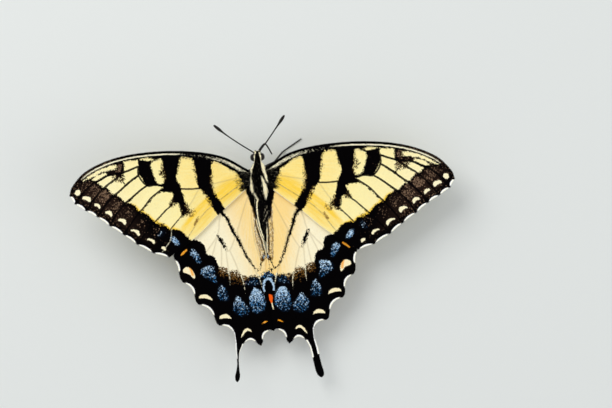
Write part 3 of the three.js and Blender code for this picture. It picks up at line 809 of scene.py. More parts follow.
def wing_top(kind):
    """The upper side of a wing, covered in scales."""
    finish, (first, second, third), height, cloud, streak = wing_ground(f"{kind}_upper_scales", 0.02)
    (clump, other, lot), _ = finish.scales(CLUMP_SIZE)
    field, blend = finish.field, finish.blend
    light, deep = (PALE_YELLOW, RICH_YELLOW) if kind == "forewing" else (HIND_CREAM, HIND_PEACH)
    warm = (field("warm") * (0.45 + streak * 1.1) + (first - 0.5) * 0.12 + (clump - 0.5) * 0.1).clipped()
    yellow = blend(warm, blend(field("flecks") * 0.55, light, CREAM), deep)
    vein_line = (1 - field("rib") / VEIN_SHADE).clipped()
    yellow = blend(vein_line * 0.42 + (0.09 - other * 0.2).clipped(), yellow, VEIN_GREY)
    dark = blend(field("brown") * (0.5 + cloud * 0.7), BLACK, BORDER)
    mottled = (field("flecks") * 0.13 + field("dusk") * (cloud * 2 - 0.5)).clipped()
    dark = blend(sprinkled(mottled, lot) * (0.2 + clump * 0.75), dark, CLOUD)
    ragged = field("pale") + (cloud - 0.5) * 0.2 + (other - 0.5) * (0.24 + field("soft") * 1.6)
    pale = scaled_edge(ragged, first, field("soft") * 0.6 + 0.05)
    base = blend(pale, dark, yellow)
    rim = (1 - ragged.most(ragged * -1) * 2.2).clipped() * (field("soft") * 1.4 - 0.3).clipped()
    base = blend(rim * (0.2 + cloud), base, GILT)
    base = blend(scaled_edge(field("vein"), second, 0.14) * 0.94, base, BLACK)
    base = blend(sprinkled(field("gilt"), lot) * (0.55 + clump * 0.4), base, GILT)
    density = field("blue") * (1 - pale)
    base = blend((density * 1.4).clipped() * 0.8, base, NIGHT_BLUE)
    tint = (field("light") * 1.1 - 0.12 + (clump - 0.5) * 1.3).clipped()
    lit = sprinkled(density * (0.42 + field("light") * 0.56), lot) * (0.7 + other * 0.3)
    base = blend(lit, base, blend(tint, BLUE, LIGHT_BLUE))
    amber = (field("amber") + (first - 0.5) * 0.16).clipped()
    spot = blend((amber * 2 - 1).clipped(), blend((amber * 2).clipped(), CREAM, AMBER), ORANGE)
    base = blend(scaled_edge(field("cream") + (other - 0.5) * 0.1, second, 0.16), base, spot)
    base = blend(sprinkled(field("dust") * (0.7 + clump * 0.6), third), base, DUST)
    base = blend(scaled_edge(field("fringe"), second, 0.1), base, WHITE)
    base = blend(scaled_edge(field("worn"), third, 0.2) * 0.7, base, DUST)
    return wing_cover(finish, base, 0.7, first, height)


def wing_under(kind):
    """The underside: paler, with thin dark lines and a row of yellow spots inside the margin."""
    finish, (first, second, third), height, cloud, streak = wing_ground(f"{kind}_under_scales", 0.05)
    field, blend = finish.field, finish.blend
    fore = kind == "forewing"
    yellow = blend((field("warm") * 0.4 * streak).clipped(), PALE_YELLOW, HIND_PEACH)
    margin, rib = field("margin"), field("rib")
    dark = blend((cloud * 0.9 + (second - 0.5) * 0.3 - 0.2).clipped(), BORDER, CLOUD)
    dark = blend((margin * 1.5).clipped(), BLACK, dark)
    pale = scaled_edge(field("pale") + 0.3, first, 0.2)
    base = blend(pale, dark, yellow)
    row = (0.75 - squared_from(margin, UNDER_SPOTS)).least(rib - 0.45)
    base = blend(scaled_edge(row, second, 0.2), base, PALE_YELLOW if fore else HIND_PEACH)
    band = (1.1 - squared_from(margin, UNDER_BLUE) * 0.8).clipped()
    blue = sprinkled(band * (0.15 if fore else 0.75), third) * (1 - pale)
    base = blend(blue, base, blend(first, BLUE, LIGHT_BLUE))
    if not fore:
        spots = (0.5 - squared_from(margin, UNDER_ORANGE)).least(rib - 0.7)
        base = blend(scaled_edge(spots, first, 0.3) * 0.9, base, AMBER)
    lines = (0.1 - rib).most(field("vein"))
    base = blend(scaled_edge(lines, second, 0.1) * 0.92, base, BLACK)
    base = blend(scaled_edge(field("fringe"), second, 0.12), base, WHITE)
    return wing_cover(finish, base, 0.66, first, height)


def hair_finish():
    """Hair and hair-like scales: black, with cream, golden and grey ones among them."""
    # the emission strength lights pale hair from within: a painted glow, not a lamp
    finish = Finish("hair", {"Specular IOR Level": 0.04, "Emission Strength": 0.3})
    field, blend = finish.field, finish.blend
    shade, along = field("shade"), field("along")
    dark = blend((along * 0.12 + shade * 0.2 - 0.18).clipped(), BLACK, BLACK_HAIR_SHEEN)
    pale = blend(shade * 0.5, *PALE_HAIR)
    base = blend(field("grey"), dark, blend(shade * 0.8, *GREY_HAIR))
    base = blend(field("gold"), base, blend(shade * 0.6, *GOLD_HAIR))
    base = blend(field("pale"), base, pale)
    painted_glow = blend(field("pale"), NO_LIGHT, pale)  # painted glow: pale hair emits light so it reads bright despite the shade between locks
    finish.set(Base_Color=base, Roughness=0.6 + shade * 0.3, Emission_Color=painted_glow)
    finish.set(Normal=finish.bump(finish.noise(0.05, (1, 0.2, 1)), 0.01))
    return finish.material


def skin_finish():
    finish = Finish("body_skin", {"Specular IOR Level": 0.06})
    grain = finish.noise(0.12, (1, 0.4, 1), 4)
    dark = finish.blend(grain * 0.3, BLACK, SKIN_SHEEN)
    light = finish.blend(grain * 0.4, CREAM, SKIN_YELLOW)
    base = finish.blend(finish.field("pale"), dark, light)
    finish.set(Base_Color=base, Roughness=0.55 + grain * 0.25)
    finish.set(Normal=finish.bump(grain, 0.05))
    return finish.material


def horn_finish(name, tint, roughness):
    """Black-brown horn of legs, feelers and tongue, finely pitted."""
    finish = Finish(name, {"Specular IOR Level": 0.3, "Coat Weight": 0.1, "Coat Roughness": 0.35})
    grain = finish.noise(0.06, detail=4)
    wear = finish.noise(0.7, detail=3)
    base = finish.blend((wear * 0.8 + grain * 0.3 - 0.4).clipped(), BLACK, tint)
    finish.set(Base_Color=base, Roughness=roughness + grain * 0.2)
    finish.set(Normal=finish.bump(grain, 0.015))
    return finish.material


def eye_finish():
    """A compound eye: dark brown, glossy, covered in minute facets."""
    finish = Finish("compound_eye", {"Coat Weight": 0.15, "Coat Roughness": 0.1, "Specular IOR Level": 0.25})
    (first, _, _), facet = finish.scales(FACET_SIZE)
    mottle = finish.noise(0.5, detail=3)
    base = finish.blend((mottle * 1.2 + (first - 0.5) * 0.3 - 0.3).clipped(), BLACK, EYE_BROWN)
    finish.set(Base_Color=base, Roughness=0.22 + first * 0.08)
    finish.set(Normal=finish.bump(1 - facet, 0.01, 0.6))
    return finish.material


# ---------------------------------------------------------------- pieces


def piece(name, data, finishes, replaced=()):
    """A finished mesh, in the model's frame, becomes a piece of the butterfly."""
    for finish in finishes:
        data.materials.append(finish)
    data.polygons.foreach_set("use_smooth", np.ones(len(data.polygons), bool))
    made = bpy.data.objects.new(name, data)
    bpy.context.scene.collection.objects.link(made)
    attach(made, "root")
    if replaced:
        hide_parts(*replaced)
    return made


def shaped(name, mesh, finishes, replaced):
    """A mesh drawn in millimetres about the thorax, moved and scaled into the model's frame as a piece."""
    scale = Matrix.Diagonal((MM, MM, MM, 1))
    bmesh.ops.transform(mesh, matrix=Matrix.Translation(Vector(ORIGIN)) @ scale, verts=mesh.verts)
    data = bpy.data.meshes.new(name)
    mesh.to_mesh(data)
    mesh.free()
    return piece(name, data, finishes, replaced)


def keep(data, name, values):
    """Numbers kept on a mesh's vertices for its finish."""
    values = np.full(len(data.vertices), values, np.float32)
    data.attributes.new(name, "FLOAT", "POINT").data.foreach_set("value", values)


def corners(mesh):
    return np.array([vertex.co for vertex in mesh.verts])


def move_to(mesh, places):
    for vertex, spot in zip(mesh.verts, places):
        vertex.co = spot


def rings(count, around, place):
    """A closed round form; place gives the spot of each (ring, angle), and its end rings close to points."""
    mesh = bmesh.new()
    bmesh.ops.create_grid(mesh, x_segments=around, y_segments=count - 1, size=0.5)
    grid = corners(mesh)
    low, span = grid.min(axis=0), np.ptp(grid, axis=0)
    angle = np.rint((grid[:, 0] - low[0]) / span[0] * around) % around * (2 * math.pi / around)
    ring = np.rint((grid[:, 1] - low[1]) / span[1] * (count - 1)).astype(int)
    move_to(mesh, place(ring, angle))
    bmesh.ops.remove_doubles(mesh, verts=mesh.verts, dist=1e-5)
    bmesh.ops.recalc_face_normals(mesh, faces=mesh.faces)
    return mesh


DOME = 0.6  # a limb's rounded end, in radii
DOME_RING = (0.6, 0.75)  # the ring on it: share of its height, and of the radius


def tube(path, radii, around):
    """A round limb along a path with a radius at each point; its ends are domed."""
    path, radii = np.array(path, float), np.array(radii, float)
    start, end = unit(path[0] - path[1]) * radii[0] * DOME, unit(path[-1] - path[-2]) * radii[-1] * DOME
    up_dome, ring_width = DOME_RING
    first, last = path[0], path[-1]
    path = np.vstack([first + start, first + start * up_dome, path, last + end * up_dome, last + end])
    radii = np.r_[0, radii[0] * ring_width, radii, radii[-1] * ring_width, 0]
    along = unit(np.gradient(path, axis=0))
    across = unit(np.cross(along, (0, 0, 1)))
    up = np.cross(across, along)

    def place(ring, angle):
        outward = across[ring] * np.cos(angle)[:, None] + up[ring] * np.sin(angle)[:, None]
        return path[ring] + outward * radii[ring, None]

    return rings(len(path), around, place)


def gathered(parts):
    """Several closed forms as one mesh."""
    whole = bmesh.new()
    for part in parts:
        shell = bpy.data.meshes.new("part")
        part.to_mesh(shell)
        part.free()
        whole.from_mesh(shell)
        bpy.data.meshes.remove(shell)
    return whole


# ---------------------------------------------------------------- wings

CELL = 0.17  # spacing of a wing's mesh
SNAP = 0.6  # share of a cell that a vertex may move to reach the outline
MEMBRANE, RIB_WALL = 0.11, 0.24  # thickness between veins and at one
FLUTE = 0.1  # the membrane dips this far between veins
FLUTE_REACH = 1.2  # most of the dip is reached this far from a vein
SLIVER = 0.08  # faces smaller than this share of a cell are dropped


def wing_plan(kind, side):
    """A fine flat sheet trimmed to a wing's outline."""
    outline = OUTLINES[kind][side]
    low, high = outline.min(axis=0) - CELL, outline.max(axis=0) + CELL
    columns, rows = np.ceil((high - low) / CELL).astype(int)
    mesh = bmesh.new()
    bmesh.ops.create_grid(mesh, x_segments=int(columns), y_segments=int(rows), size=0.5)
    spots = corners(mesh)[:, :2]
    spots = low + (spots - spots.min(axis=0)) / np.ptp(spots, axis=0) * (high - low)
    depth = within(spots, outline)
    close = np.abs(depth) < SNAP * CELL
    spots[close] = nearest_on(spots[close], closed(outline))[0]
    move_to(mesh, np.c_[spots, np.zeros(len(spots))])
    outside = [vertex for vertex, d in zip(mesh.verts, depth) if d < -SNAP * CELL]
    bmesh.ops.delete(mesh, geom=outside, context="VERTS")
    slivers = [face for face in mesh.faces if face.calc_area() < SLIVER * CELL**2]
    bmesh.ops.delete(mesh, geom=slivers, context="FACES")
    return mesh


def tail_turned(spots, side):
    """The tail stands on edge on one side: plan places after its twist, and how far each is lifted."""
    x, y = spots.T
    turn = np.interp(-y, [-TWIST_STARTS_Y, *-TAIL_Y], [0, *TAIL_TWIST[side]])
    turn = np.radians(turn) * smoothstep(*TWIST_REACH_X, x)
    middle = np.interp(-y, -TAIL_Y, TAIL_X)
    reach = x - middle
    return np.stack([middle + reach * np.cos(turn), y], axis=1), reach * np.sin(turn)


def on_wing(kind, side, spots):
    """Where spots of a wing's plan lie on the named wing."""
    lift = np.zeros(len(spots))
    if kind == "hindwing":
        spots, lift = tail_turned(spots, side)
    turned = np.c_[spots, np.ones(len(spots))] @ SETTING[f"{kind}_{side}"].T
    out, y = turned.T
    x = -out if side == "left" else out
    reach = out - HINGE_OUT
    z = HINGE_Z + RISE[side] * reach - BOW_DROP * (reach / BOW_OVER) ** 2
    if kind == "hindwing":
        droop = DROOP_DROP * (np.clip(DROOP_FROM - y, 0, None) / DROOP_OVER) ** 2
        lap = LAP_LIFT * np.exp(-((x / LAP_REACH) ** 2)) * smoothstep(LAP_FROM, LAP_TO, -y)
        z = z - UNDERLAP - droop + (-lap if side == "left" else lap)
    return np.stack([x, y, z + lift], axis=1)


def make_wing(kind, side, finishes):
    mesh = wing_plan(kind, side)
    spots = corners(mesh)[:, :2]
    marks = MARKS[kind](spots, side)
    stand = marks.pop("stand")
    places = on_wing(kind, side, spots)
    places[:, 2] -= FLUTE * (1 - np.exp(-((marks["rib"] / FLUTE_REACH) ** 2)))
    move_to(mesh, places)
    if side == "left":
        bmesh.ops.reverse_faces(mesh, faces=mesh.faces)
    nodes = [f"{kind}_{side}"] + ([f"tail_{side}"] if kind == "hindwing" else [])
    wing = shaped(f"{kind}_{side}_membrane", mesh, finishes, nodes)
    for field, values in marks.items():
        keep(wing.data, field, values)
    ribs_group = wing.vertex_groups.new(name="ribs")
    for index, share in enumerate(stand.tolist()):
        ribs_group.add([index], share, "REPLACE")
    wall = wing.modifiers.new("wall", "SOLIDIFY")
    wall.thickness = RIB_WALL * MM
    wall.offset = 0
    wall.vertex_group = ribs_group.name
    wall.thickness_vertex_group = MEMBRANE / RIB_WALL
    wall.material_offset = 1
    wall.material_offset_rim = 0


# ---------------------------------------------------------------- body

# Y, half width, half height, depth of the coat over the skin: head, thorax, abdomen
BODY_RINGS = [
    (11.02, 0.2, 0.25, 0.1), (10.9, 0.5, 0.6, 0.15), (10.4, 1.15, 1.3, 0.2), (9.6, 1.5, 1.7, 0.2),
    (8.8, 1.5, 1.7, 0.2), (8, 1.15, 1.35, 0.2), (7.7, 1.3, 1.5, 0.3), (6.5, 2.05, 2.5, 0.45),
    (4.5, 2.85, 3.2, 0.5), (2.5, 3.1, 3.4, 0.5), (0.5, 2.95, 3.2, 0.5), (-1, 2.5, 2.7, 0.4),
    (-2.1, 2, 2.1, 0.3), (-2.4, 1.75, 1.85, 0.2), (-4, 2.1, 2.15, 0.2), (-6.5, 2.3, 2.35, 0.18),
    (-9, 2.2, 2.2, 0.18), (-11.5, 1.8, 1.75, 0.15), (-13.5, 1.15, 1.15, 0.12), (-14.8, 0.4, 0.45, 0.08),
    (-14.95, 0.15, 0.15, 0.05),
]
BODY_SHAPE = through(BODY_RINGS, 5)[::-1]
SEGMENT_JOINTS = np.array([-3.5, -5.1, -6.7, -8.3, -9.9, -11.4, -12.8, -13.9])
JOINT_GROOVE, JOINT_WIDTH = 0.07, 0.14
SKIN_RINGS, SKIN_AROUND = np.r_[11.05, np.linspace(10.95, -14.9, 230), -15.0], 80


def axis(y):
    """The body's axis, as a point for each Y."""
    y = np.asarray(y, float)
    x = BODY_DRIFT + BODY_BEND * (y - BODY_BEND_AT) ** 2
    return np.stack([x, y, BODY_HEIGHT + BODY_PITCH * (y - BODY_LEVEL_AT)], axis=-1)


def girth(y):
    """Half width and half height of the skin at each Y."""
    wide, tall, coat = (np.interp(y, BODY_SHAPE[:, 0], BODY_SHAPE[:, i]) for i in (1, 2, 3))
    groove = JOINT_GROOVE * np.exp(-((np.subtract.outer(y, SEGMENT_JOINTS) / JOINT_WIDTH) ** 2)).sum(axis=-1)
    return np.maximum(wide - groove - coat, 0), np.maximum(tall - groove - coat, 0)


def on_body(y, turn):
    """A point of the skin: turn is 0 on the back and grows to the right."""
    wide, tall = girth(y)
    return axis(y) + np.stack([wide * np.sin(turn), np.zeros_like(wide), tall * np.cos(turn)], axis=-1)


def body_lie(y, turn):
    """At each point of the body, the way out and the way back along it."""
    back = unit(on_body(y - 0.1, turn) - on_body(y + 0.1, turn))
    round_it = on_body(y, turn + 0.05) - on_body(y, turn - 0.05)
    out = unit(np.cross(back, round_it))
    outward = ((on_body(y, turn) - axis(y)) * out).sum(axis=1)
    return out * np.where(outward < 0, -1, 1)[:, None], back


# lines along the back, seen from above: (X, Y) and half widths at the two ends
BACK_LINES = [
    ([(-0.85, 10.55), (-0.9, 10.35)], 0.28, 0.28),
    ([(-1.02, 9.75), (-1.2, 8.8), (-1.4, 7.8), (-1.75, 6.6)], 0.14, 0.2),
    ([(-1.95, 6), (-2.3, 5.2), (-2.65, 4.4), (-2.85, 3.6), (-2.9, 3)], 0.18, 0.16),
    ([(-3.1, 2.8), (-3.5, 2)], 0.12, 0.08),
    ([(-2.45, 4.2), (-2.45, 3), (-2.45, 1.6), (-2.5, 0.3)], 0.16, 0.4),
    ([(-1.95, -0.3), (-1.7, -1.2), (-1.35, -2.2), (-1.4, -2.9), (-1.65, -3.8), (-1.78, -5.5)], 0.2, 0.16),
    ([(-1.78, -5.5), (-1.75, -7), (-1.6, -9), (-1.3, -11), (-1, -12.3), (-0.65, -13.5)], 0.17, 0.14),
    ([(0.42, 10.45), (0.42, 10.25)], 0.26, 0.26),
    ([(0.45, 9.7), (0.65, 8.9), (0.72, 7.8), (0.78, 6.6)], 0.2, 0.36),
    ([(0.8, 6.4), (0.95, 5.6), (1.2, 4.6), (1.5, 3.6), (1.75, 2.9)], 0.3, 0.32),
    ([(1.9, 2.5), (2.3, 1.7)], 0.2, 0.1),
    ([(0.3, 4), (0.5, 3.2), (0.75, 2.2), (0.95, 1.2), (0.95, 0)], 0.14, 0.62),
    ([(0.95, 0), (0.95, -1), (1, -2), (1.05, -3.1)], 0.5, 0.18),
]
BACK_STREAKS = [  # loose hairs over the abdomen's right side
    [(1.3, -4.5), (0.7, -5.4), (0.15, -6.4)], [(1.5, -5.8), (1, -6.4), (0.5, -7.4)],
    [(0.9, -6.9), (0.3, -7.8), (-0.35, -9.1)], [(1.2, -8), (0.8, -8.7), (0.4, -9.6)],
    [(0.8, -9.3), (0.5, -10), (0.35, -10.8)], [(0.6, -10.8), (0.55, -12), (0.5, -13.4)],
]
FLANK = (72, 150)  # from how far down from the back, in degrees, the flanks are yellow
FLANK_LINE, FLANK_LINE_HALF, FLANK_SOFT = 112, 9, 25
THORAX_END, NECK_Y = -2.5, 7.6


def body_marks(points):
    """How pale the body is: the lines along the back, yellow flanks with a black line, and loose hairs."""
    spots, y = points[:, :2], points[:, 1]
    middle = axis(y)
    above = points[:, 2] - middle[:, 2]
    wide, tall = girth(y)
    turn = np.degrees(np.arctan2(np.abs(points[:, 0] - middle[:, 0]) / np.maximum(wide, 0.1),
                                 above / np.maximum(tall, 0.1)))
    flank = np.minimum.reduce([turn - FLANK[0], FLANK[1] - turn, np.abs(turn - FLANK_LINE) - FLANK_LINE_HALF])
    flank = flank / FLANK_SOFT
    flank = np.where(y < THORAX_END, flank, np.minimum(flank, 0.5 * np.sin(y * 2.4) + 0.1))
    flank = np.where(y > NECK_Y, -1, flank)
    lines = np.maximum.reduce([stroke(spots, *line) for line in BACK_LINES])
    loose = np.maximum.reduce([stroke(spots, line, 0.1) for line in BACK_STREAKS])
    lines, loose = (np.where(above > 0, smoothstep(-0.05, 0.05, field), 0) for field in (lines, loose))
    return lines, smoothstep(-0.05, 0.1, flank), loose


def make_skin(finish):
    """One skin for head, thorax and abdomen, inside the coat."""

    def place(ring, angle):
        y = SKIN_RINGS[ring]
        ends = (ring == 0) | (ring == len(SKIN_RINGS) - 1)
        return np.where(ends[:, None], axis(y), on_body(y, angle))

    mesh = rings(len(SKIN_RINGS), SKIN_AROUND, place)
    lines, flank, _ = body_marks(corners(mesh))
    skin = shaped("body_skin", mesh, [finish], ["head", "thorax", "abdomen"])
    keep(skin.data, "pale", np.maximum(lines, flank))


# ---------------------------------------------------------------- coat

LOCKS = np.random.default_rng(SEED)
PATCH = 0.003  # a tuft's patch on the unwrap of the skin it grows from
LOCK_LEVELS, LOCK_WIDTHS = [0, 0.3, 0.68], [0.7, 1, 0.72]  # shares of a lock's length, and of its width there
LOCK_DEPTH = 0.4  # how thick a lock is for its width
EYE_CLEAR = 1.02


def draw(count, low=0.0, high=1.0):
    return LOCKS.uniform(low, high, count)


def jitter(count, size):
    return LOCKS.normal(0, size, (count, 3))


def lock_shape():
    """One tapering three-sided lock, 1 long and 1 wide, as points (across, up, along) and its faces."""
    mesh = bmesh.new()
    bmesh.ops.create_cone(mesh, cap_ends=True, segments=3, radius1=0.5, radius2=0, depth=1)
    bmesh.ops.translate(mesh, vec=(0, 0, 0.5), verts=mesh.verts)
    for level in LOCK_LEVELS[1:]:
        geometry = [*mesh.verts, *mesh.edges, *mesh.faces]
        bmesh.ops.bisect_plane(mesh, geom=geometry, plane_co=(0, 0, level), plane_no=(0, 0, 1))
    for vertex in mesh.verts:
        level = vertex.co.z
        if level < 0.999:
            flat = vertex.co.xy.normalized() * float(np.interp(level, LOCK_LEVELS, LOCK_WIDTHS)) / 2
            vertex.co = (flat.x, flat.y, level)
    bmesh.ops.triangulate(mesh, faces=[face for face in mesh.faces if len(face.verts) > 4])
    bmesh.ops.recalc_face_normals(mesh, faces=mesh.faces)
    shape = corners(mesh)
    faces = [[vertex.index for vertex in face.verts] for face in mesh.faces]
    mesh.free()
    return shape, faces


LOCK, LOCK_FACES = lock_shape()


def make_coat(name, finish, root, out, lie, length, width, bake, marks, curl=0.25):
    """Locks joined into one mesh. root, out and lie are a point and two directions for each lock, bake is its
    place on the unwrap of the skin, and marks are its fields."""
    count = len(root)
    lie = unit(lie)
    across = unit(np.cross(lie, out))
    up = np.cross(across, lie)
    side, rise, along = LOCK.T
    length, width = (np.broadcast_to(size, count)[:, None] for size in (length, width))
    places = (root[:, None] + lie[:, None] * (length * along)[..., None]
              + across[:, None] * (width * side)[..., None]
              + up[:, None] * (width * rise * LOCK_DEPTH - length * along**2 * curl)[..., None])
    places = ORIGIN + MM * places.reshape(-1, 3)
    each = np.arange(count)[:, None]
    sizes = np.array([len(face) for face in LOCK_FACES])
    loops = np.concatenate(LOCK_FACES)
    all_loops = (loops[None] + len(LOCK) * each).ravel()
    starts = np.r_[0, np.cumsum(sizes)[:-1]]
    data = bpy.data.meshes.new(name)
    data.vertices.add(len(places))
    data.vertices.foreach_set("co", places.ravel())
    data.loops.add(len(all_loops))
    data.loops.foreach_set("vertex_index", all_loops)
    data.polygons.add(len(sizes) * count)
    data.polygons.foreach_set("loop_start", (starts[None] + len(loops) * each).ravel())
    data.update(calc_edges=True)
    local = np.stack([side, along - 0.5], axis=1) * PATCH
    spread = np.clip(bake, 0.004, 0.996)[:, None] + local[None]
    data.uv_layers.new(name="OFBake").data.foreach_set("uv", spread.reshape(-1, 2)[all_loops].ravel())
    for field, values in marks.items():
        keep(data, field, np.repeat(np.broadcast_to(values, count), len(LOCK)))
    keep(data, "along", np.tile(along, count))
    piece(name, data, [finish])


DRAWS = 4  # spots tried at a time, for each one that is wanted
GIRTH_MOST, SLOPE_MOST = 8, 9  # the largest half width and height together, and squared slope


def scatter_on_body(count, first_y, last_y, where):
    """Even random roots on the body: Y and turn for each."""
    found = []
    while sum(len(y) for y, _ in found) < count:
        y = draw(DRAWS * count, last_y, first_y)
        turn = draw(DRAWS * count, -math.pi, math.pi)
        wide, tall = girth(y)
        slope = (np.add(*girth(y + 0.05)) - np.add(*girth(y - 0.05))) / 0.2
        area = (wide + tall) * np.sqrt(1 + np.minimum(slope**2, SLOPE_MOST))
        chosen = (draw(DRAWS * count) < area / GIRTH_MOST) & where(y, turn)
        found.append((y[chosen], turn[chosen]))
    return (np.concatenate(column)[:count] for column in zip(*found))


def on_back(y, turn):
    return np.abs(turn) < 1.45


def on_flanks(y, turn):
    return ~on_back(y, turn)


def clear_of_eyes(y, turn):
    clear = np.ones(len(y), bool)
    for sign in SIDES.values():
        reach = (on_body(y, turn) - eye_middle(sign)) / EYE_SIZE
        clear &= np.linalg.norm(reach, axis=1) > EYE_CLEAR
    return clear


def anywhere(y, turn):
    return np.ones(len(y), bool)


THORAX_LENGTHS = ([-2.4, 0, 5, 8], [1.1, 1.35, 1.3, 0.9])  # of the locks, for each Y
BODY_COATS = [  # name, number of locks, first and last Y, where; their lengths, width, lift and curl
    ("thorax_back_hair", 9500, 7.9, -2.4, on_back, THORAX_LENGTHS, 0.085, 0.34, 0.2),
    ("thorax_side_hair", 8000, 7.9, -2.4, on_flanks, THORAX_LENGTHS, 0.085, 0.42, 0.25),
    ("head_hair", 4600, 11.04, 7.7, clear_of_eyes, ([7.7, 9, 11], [0.8, 0.6, 0.42]), 0.06, 0.6, 0.3),
    ("abdomen_scales", 9500, -2.2, -14.9, anywhere, ([-15, -12, -2], [0.35, 0.42, 0.6]), 0.1, 0.16, 0.12),
]
BAKE_TAIL_Y, BAKE_LENGTH = -15.2, 26.6


def make_body_coat(finish, name, count, first_y, last_y, where, lengths, width, lift, curl):
    y, turn = scatter_on_body(count, first_y, last_y, where)
    root = on_body(y, turn)
    out, back = body_lie(y, turn)
    lie = back + out * lift + jitter(count, 0.16)
    sizes = np.interp(y, *lengths) * draw(count, 0.75, 1.2)
    line, flank, loose = body_marks(root + back * 0.3)
    lot = draw(count)
    pale = np.where(lot < np.maximum(line, flank), draw(count, 0.85, 1), 0)
    grey = np.maximum(np.where(lot < loose, 0.9, 0), np.where(draw(count) < 0.03, 0.4, 0))
    bake = np.stack([turn / (2 * math.pi) + 0.5, (y - BAKE_TAIL_Y) / BAKE_LENGTH], axis=1)
    marks = {"pale": pale, "grey": grey, "gold": 0, "shade": draw(count)}
    make_coat(name, finish, root, out, lie, sizes, width, bake, marks, curl)


# ---------------------------------------------------------------- head, feelers and legs

ANTENNA_ROUTES = {
    "left": [(-0.75, 10.1, 10.4), (-1.5, 10.9, 11.2), (-4.6, 13.2, 13.9), (-8.3, 16.2, 17.5),
             (-11.4, 19.1, 20.8)],
    "right": [(0.2, 10.1, 10.4), (0.9, 11.3, 11.3), (2.9, 13.5, 13.9), (5.6, 16.7, 17.5), (8.3, 20, 20.8)],
}
ANTENNA_RINGS, BEAD_DEPTH, SHAFT, CLUB = 34, 0.13, 0.19, 0.42
ANTENNA_SWELL = ([0.07, 0.12, 0.72, 0.82, 0.9, 0.96, 1], [0.2, 1, 1, 1.35, 2.4, CLUB / SHAFT, 1.4])
ANTENNA_FOOT, FOOT_SWELL = 0.1, ([0, 0.04, 0.055, 0.07, 0.1], [1.6, 1.7, 1.2, 1.45, 1])
PALP_ROUTE = [(0.45, 9.8, 8.5), (0.58, 10.55, 8.75), (0.56, 10.85, 9.35), (0.5, 10.75, 9.8)]
PALP_STATIONS, PALP_RADII = [0, 0.3, 0.7, 1], [0.26, 0.3, 0.27, 0.14]
PALP_HAIRS, PALP_HAIR_ROOTS = 2400, [0.24, 0.28, 0.25, 0.12]
PROBOSCIS_ROUTE = [(-0.3, 9.3, 8.7), (-0.2, 10.2, 8.35), (0.4, 11.2, 8), (1.5, 12.5, 7.6), (2.2, 12.8, 6.9),
                   (2.9, 11.8, 5.2), (3.8, 9.8, 2.6)]
PROBOSCIS_BANDS, BAND_DEPTH, PROBOSCIS_RADII = 70, 0.07, (0.17, 0.11)
LEG_ROUTES = {
    "leg_front_left": [(-1.6, 6, 7.6), (-4.4, 5.4, 6.2), (-6.4, 4.6, 1.2), (-7.2, 4.4), (-11.6, 5.4)],
    "leg_front_right": [(0.7, 6, 7.6), (4.3, 7.5, 6.4), (6.7, 10, 1.2), (7.5, 10.6), (12, 13.1)],
    "leg_middle_left": [(-2, 3, 7.2), (-6.3, 2.4, 6.2), (-9.7, 0.7, 1.2), (-10.4, 0.4), (-14.8, -1)],
    "leg_middle_right": [(1.2, 3, 7.2), (5.9, 2.6, 6.2), (9.5, 0.9, 1.2), (10.2, 0.6), (14.6, -0.6)],
    "leg_hind_left": [(-2, 0.4, 7.2), (-4.9, -4.4, 6.4), (-7.5, -10.2, 1.2), (-7.8, -11.1), (-10.1, -15.8)],
    "leg_hind_right": [(1.2, 0.4, 7.2), (4.2, -4.4, 6.4), (6.9, -10.2, 1.2), (7.3, -11.1), (9.4, -15.8)],
}
FOOT_Z = 0.22
HIP_RADII, THIGH_RADII = [0.5, 0.55, 0.42], [0.3, 0.38, 0.4, 0.36, 0.3, 0.27]
SHIN_RADII, HEEL_RADII = [0.25, 0.24, 0.25, 0.27, 0.28, 0.22], [0.2, 0.19, 0.2]
TOE_RADII = [0.15, 0.17, 0.19]
TARSUS_JOINTS, TARSUS_GAP = [0, 0.4, 0.56, 0.7, 0.83, 1], 0.006
CLAW, CLAW_RADII = [(0, 0, 0), (0.3, 0.12, 0.06), (0.55, 0.2, -0.02), (0.66, 0.2, -0.14)], (0.075, 0.02)
SPUR, SHIN_SPINE, FOOT_SPINE = (0.8, 0.07), (0.32, 0.032), (0.26, 0.028)  # length and radius
SPINE_TAPER = np.array([1, 0.8, 0.5, 0.12])
AROUND_LIMB, AROUND_PROBOSCIS, AROUND_CLAW, AROUND_SPINE = 14, 12, 8, 6


def eye_middle(sign):
    return axis(EYE_Y) + (sign * EYE_OUT, 0, EYE_UP)


def make_eye(side, sign, finish):
    mesh = bmesh.new()
    bmesh.ops.create_icosphere(mesh, subdivisions=5, radius=1)
    bmesh.ops.scale(mesh, vec=EYE_SIZE, verts=mesh.verts)
    bmesh.ops.translate(mesh, vec=eye_middle(sign), verts=mesh.verts)
    shaped(f"compound_eye_{side}", mesh, [finish], [f"eye_{side}"])


def make_antenna(side, finish):
    route = through(ANTENNA_ROUTES[side], 60)
    share = np.linspace(0, 1, len(route))
    swell = np.where(share < ANTENNA_FOOT, np.interp(share, *FOOT_SWELL), np.interp(share, *ANTENNA_SWELL))
    beads = 1 - BEAD_DEPTH * np.abs(np.cos(math.pi * ANTENNA_RINGS * share)) ** 6
    mesh = tube(route, SHAFT * swell * beads, AROUND_LIMB)
    shaped(f"feeler_{side}", mesh, [finish], [f"antenna_{side}"])


def make_palp(side, sign, finish):
    path = through([(axis(y)[0] + sign * x, y, z) for x, y, z in PALP_ROUTE], 10)
    radii = np.interp(np.linspace(0, 1, len(path)), PALP_STATIONS, PALP_RADII)
    palp = shaped(f"palp_skin_{side}", tube(path, radii, AROUND_LIMB), [finish], [f"palp_{side}"])
    keep(palp.data, "pale", 0.3)
    return path


